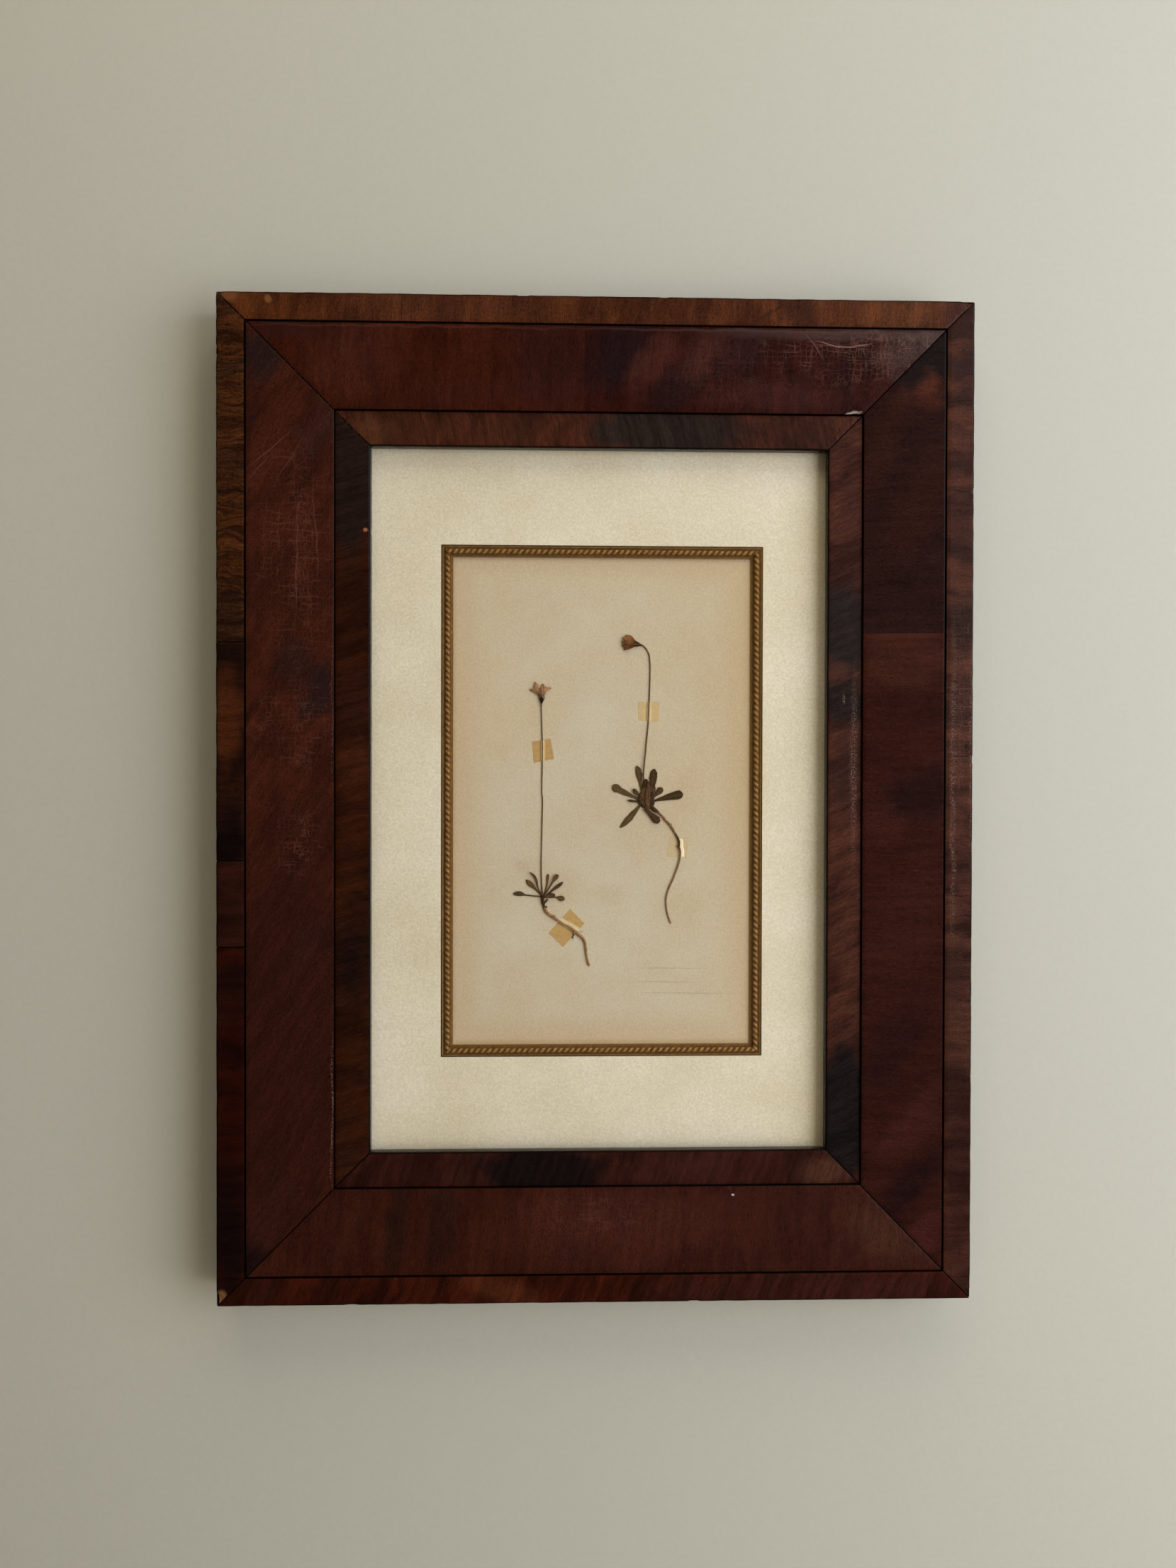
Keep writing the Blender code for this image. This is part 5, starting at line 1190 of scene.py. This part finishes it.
def tapeMaterial(name, spec):
    # cellophane tape, decades old: its gum has gone amber where it grips and clear where it doesn't
    material, tree, place = startMaterial(name)
    stuck, paintedGlint, beside = [add(tree, "Attribute", attribute_name=part).outputs["Fac"]
                             for part in ("stuck", "paintedGlint", "beside")]
    mottle = add(tree, "TexNoise", {"Vector": place, "Scale": 1 / 3.2, "Detail": 3.0, "Roughness": 0.7})
    mottled = add(tree, "MapRange", {"Value": mottle, "From Min": 0.36, "From Max": 0.64,
                                     "To Min": 0.93, "To Max": 1.07})
    colour = add(tree, "Mix", {"Factor": stuck, "A": tapeLook["clear"], "B": spec["gum"]}, data_type="RGBA")
    colour = add(tree, "VectorMath", {0: colour, "Scale": mottled}, operation="SCALE")
    # painted highlight: near-white along the tape's creases, where they catch the light
    colour = add(tree, "Mix", {"Factor": paintedGlint, "A": colour, "B": tapeLook["paintedGlint"]}, data_type="RGBA")
    # how much it hides: least right over the stem, all at a crease's painted highlight
    thin = add(tree, "MapRange", {"Value": stuck, "To Min": spec["clear"], "To Max": spec["hides"]})
    over = add(tree, "MapRange", {"Value": beside, "To Min": 0.06, "To Max": 1.0})
    veil = add(tree, "Math", {0: thin, 1: mottled}, operation="MULTIPLY")
    veil = add(tree, "Math", {0: veil, 1: over}, operation="MULTIPLY")
    veil = add(tree, "Math", {0: veil, 1: paintedGlint}, operation="MAXIMUM")
    return finish(material, {"Base Color": colour, "Alpha": veil, "Roughness": 0.16,
                             "Specular IOR Level": 0.3})


def tapePiece(name, spec):
    bm = bmesh.new()
    bmesh.ops.create_grid(bm, x_segments=64, y_segments=48, size=1)
    layers = bm.verts.layers.float
    for part in ("stuck", "beside", "paintedGlint"):
        layers.new(part)
    stuck, beside, paintedGlint = layers["stuck"], layers["beside"], layers["paintedGlint"]
    topLeft, topRight, lowRight, lowLeft = [Vector(corner) for corner in spec["corners"]]
    for vert in bm.verts:
        u, v = (vert.co.x + 1) / 2, (vert.co.y + 1) / 2
        # the cut ends are ragged
        jag = 0.018 * noise.noise(Vector((u * 6, round(v) * 7, 3)))
        jag += 0.010 * noise.noise(Vector((u * 22, v, 5)))
        spot = lowLeft.lerp(lowRight, u).lerp(topLeft.lerp(topRight, u), v + jag * (v - 0.5) * 2)
        distance, top = stemDistance(stems[spec["stem"]], spot.x, spot.y)
        reach = spec["tent"][distance > 0]
        wander = 0.25 * noise.noise(Vector((spot.x * 0.7, spot.y * 0.7, 21)))
        rise = min(max(1 - (abs(distance) - 0.15) / (max(reach, 0.3) + 0.8), 0), 1)
        vert[beside] = min(abs(distance) / 0.2, 1)
        vert[stuck] = min(max((abs(distance) - reach - wander) / 0.5 + 0.3, 0), 1)
        lift = (rise * rise * (3 - 2 * rise)) * (top - 0.02)
        # the creases are raised and marked for a painted highlight
        for middle in (0.4, 1.55) if spec["ridge"] and distance > 0 else ():
            near = abs(distance + wander * 0.5 - middle) / 0.46
            if near < 1:
                lift += spec["ridge"] * (1 - near * near)
                ends = min(max((1 - abs(v - 0.5) * 2) * 6, 0.2), 1)
                vert[paintedGlint] = max(vert[paintedGlint], (1 - near ** 3) * 0.9 * ends)
        ripple = 0.04 * noise.noise(Vector((spot.x * 0.9, spot.y * 0.9, 9)))
        vert.co = onSheet(spot.x, spot.y, tapeLook["height"] + lift + ripple)
    faceFront(bm, bm.faces[:])
    film = tapeMaterial("yellowed clear tape " + name[-1], spec)
    piece = makePiece(name + "_aged", bm, film, [name], 180, tapeLook["thickness"])
    piece.visible_shadow = False


for name, spec in tapes.items():
    tapePiece(name, spec)
print("tapes done")


# ---- back: gummed paper strips, hanger pins, bumpers ----
gummed = {"edges": {"left": -148.0, "right": 151.0, "bottom": -225.5, "top": 226.0},
          "width": 24.0, "lap": 9.0, "board": -8.6, "thickness": 0.15, "steps": (120, 20)}


def gummedMaterial():
    # brown gummed paper: kraft, cockled by its glue
    material, tree, place = startMaterial("brown gummed paper")
    cloud = add(tree, "TexNoise", {"Vector": place, "Scale": 1 / 14, "Detail": 4.0})
    flock = add(tree, "TexNoise", {"Vector": place, "Scale": 1.2, "Detail": 3.0})
    colour = add(tree, "ValToRGB", {"Fac": cloud}, [(0.35, "#7d5a36"), (0.65, "#a07a4c")])
    colour = shade(tree, colour, (flock, 0.3, 0.7, 0.88, 1.1))
    return finish(material, {"Base Color": colour, "Roughness": 0.7}, (cloud, 0.4, 0.001))


def gummedStrip(side, material):
    # laps the rail's back, drops into the rabbet and runs on over the board
    edges, lap, board = gummed["edges"], gummed["lap"], gummed["board"]
    upright = side in ("left", "right")
    inward = 1 if side in ("left", "bottom") else -1
    start, end = (edges["bottom"], edges["top"]) if upright else (edges["left"], edges["right"])
    profile = [(-lap, railBack + 0.08), (-0.4, railBack + 0.08), (0.5, railBack - 0.5), (1.2, board + 0.6),
               (2.2, board + 0.15), (gummed["width"] - lap, board + 0.12)]
    bm = bmesh.new()
    bmesh.ops.create_grid(bm, x_segments=gummed["steps"][0], y_segments=gummed["steps"][1], size=1)
    for vert in bm.verts:
        along = start + (end - start) * (vert.co.x + 1) / 2
        part = (vert.co.y + 1) / 2
        u, level = smoothPoint(profile, part)
        if part < 0.001 or part > 0.999:
            u += 0.5 * noise.noise(Vector((along / 7, part, 4 if upright else 6)))
        # both ends are cut on a slant over the corner
        reach = max(0, u) if part > 0.2 else 0
        along = min(max(along, start + reach * 0.9), end - reach * 0.9)
        cockle = 0.12 * noise.noise(Vector((along / 9, u / 5, 2)))
        level = min(max(level + cockle, board + 0.05), railBack + 0.15)
        across = edges[side] + inward * u
        # the level strips lie over the upright ones at the corners
        spot = (across, level, along) if upright else (along, level + 0.05, across)
        vert.co = Vector((spot[0], spot[1], spot[2] + middleHeight)) * mm
    bmesh.ops.recalc_face_normals(bm, faces=bm.faces)
    bm.faces.ensure_lookup_table()
    if bm.faces[0].normal.y < 0:
        bmesh.ops.reverse_faces(bm, faces=bm.faces[:])
    makePiece("gummed_strip_" + side, bm, material, (), 60, gummed["thickness"])


kraft = gummedMaterial()
for side in sides:
    gummedStrip(side, kraft)


def steelMaterial():
    # brass-plated steel strip, stamped: thin, dulled, rusting at its teeth
    material, tree, place = startMaterial("brass-plated steel")
    spotted = add(tree, "TexNoise", {"Vector": place, "Scale": 1 / 2.5, "Detail": 5.0, "Roughness": 0.7})
    colour = add(tree, "ValToRGB", {"Fac": spotted}, [(0.4, "#b89a5c"), (0.58, "#9c8049"), (0.7, "#5e4023")])
    rough = add(tree, "MapRange", {"Value": spotted, "From Min": 0.35, "From Max": 0.7,
                                   "To Min": 0.3, "To Max": 0.62})
    return finish(material, {"Base Color": colour, "Roughness": rough, "Metallic": 0.9})


def feltMaterial():
    # pressed wool felt: dark, fuzzy, no shine
    material, tree, place = startMaterial("dark wool felt")
    fuzz = add(tree, "TexNoise", {"Vector": place, "Scale": 2.5, "Detail": 4.0, "Roughness": 0.7})
    colour = add(tree, "ValToRGB", {"Fac": fuzz}, [(0.35, "#2a2926"), (0.65, "#4a4843")])
    return finish(material, {"Base Color": colour, "Roughness": 0.95, "Sheen Weight": 0.4},
                  (fuzz, 0.8, 0.0005))


plated, wool = steelMaterial(), feltMaterial()
dress("hanger_plate", plated)
dress("bumper_left", wool)
dress("bumper_right", wool)

# two pins hold the hanger down; their heads are 3 mm across
pin = {"across": 40.0, "head": 3.0, "out": -1.35, "height": 3.0, "flatness": 0.5}
for name, hand in (("hanger_pin_left", -1), ("hanger_pin_right", 1)):
    bm = bmesh.new()
    spot = (hand * pin["across"] / 2 * mm, pin["out"] * mm, pin["height"] * mm)
    bmesh.ops.create_uvsphere(bm, u_segments=20, v_segments=10, radius=pin["head"] / 2 * mm,
                              matrix=Matrix.Translation(spot) @ Matrix.Diagonal((1, pin["flatness"], 1, 1)))
    makePiece(name, bm, plated, (), 60)
print("back done")
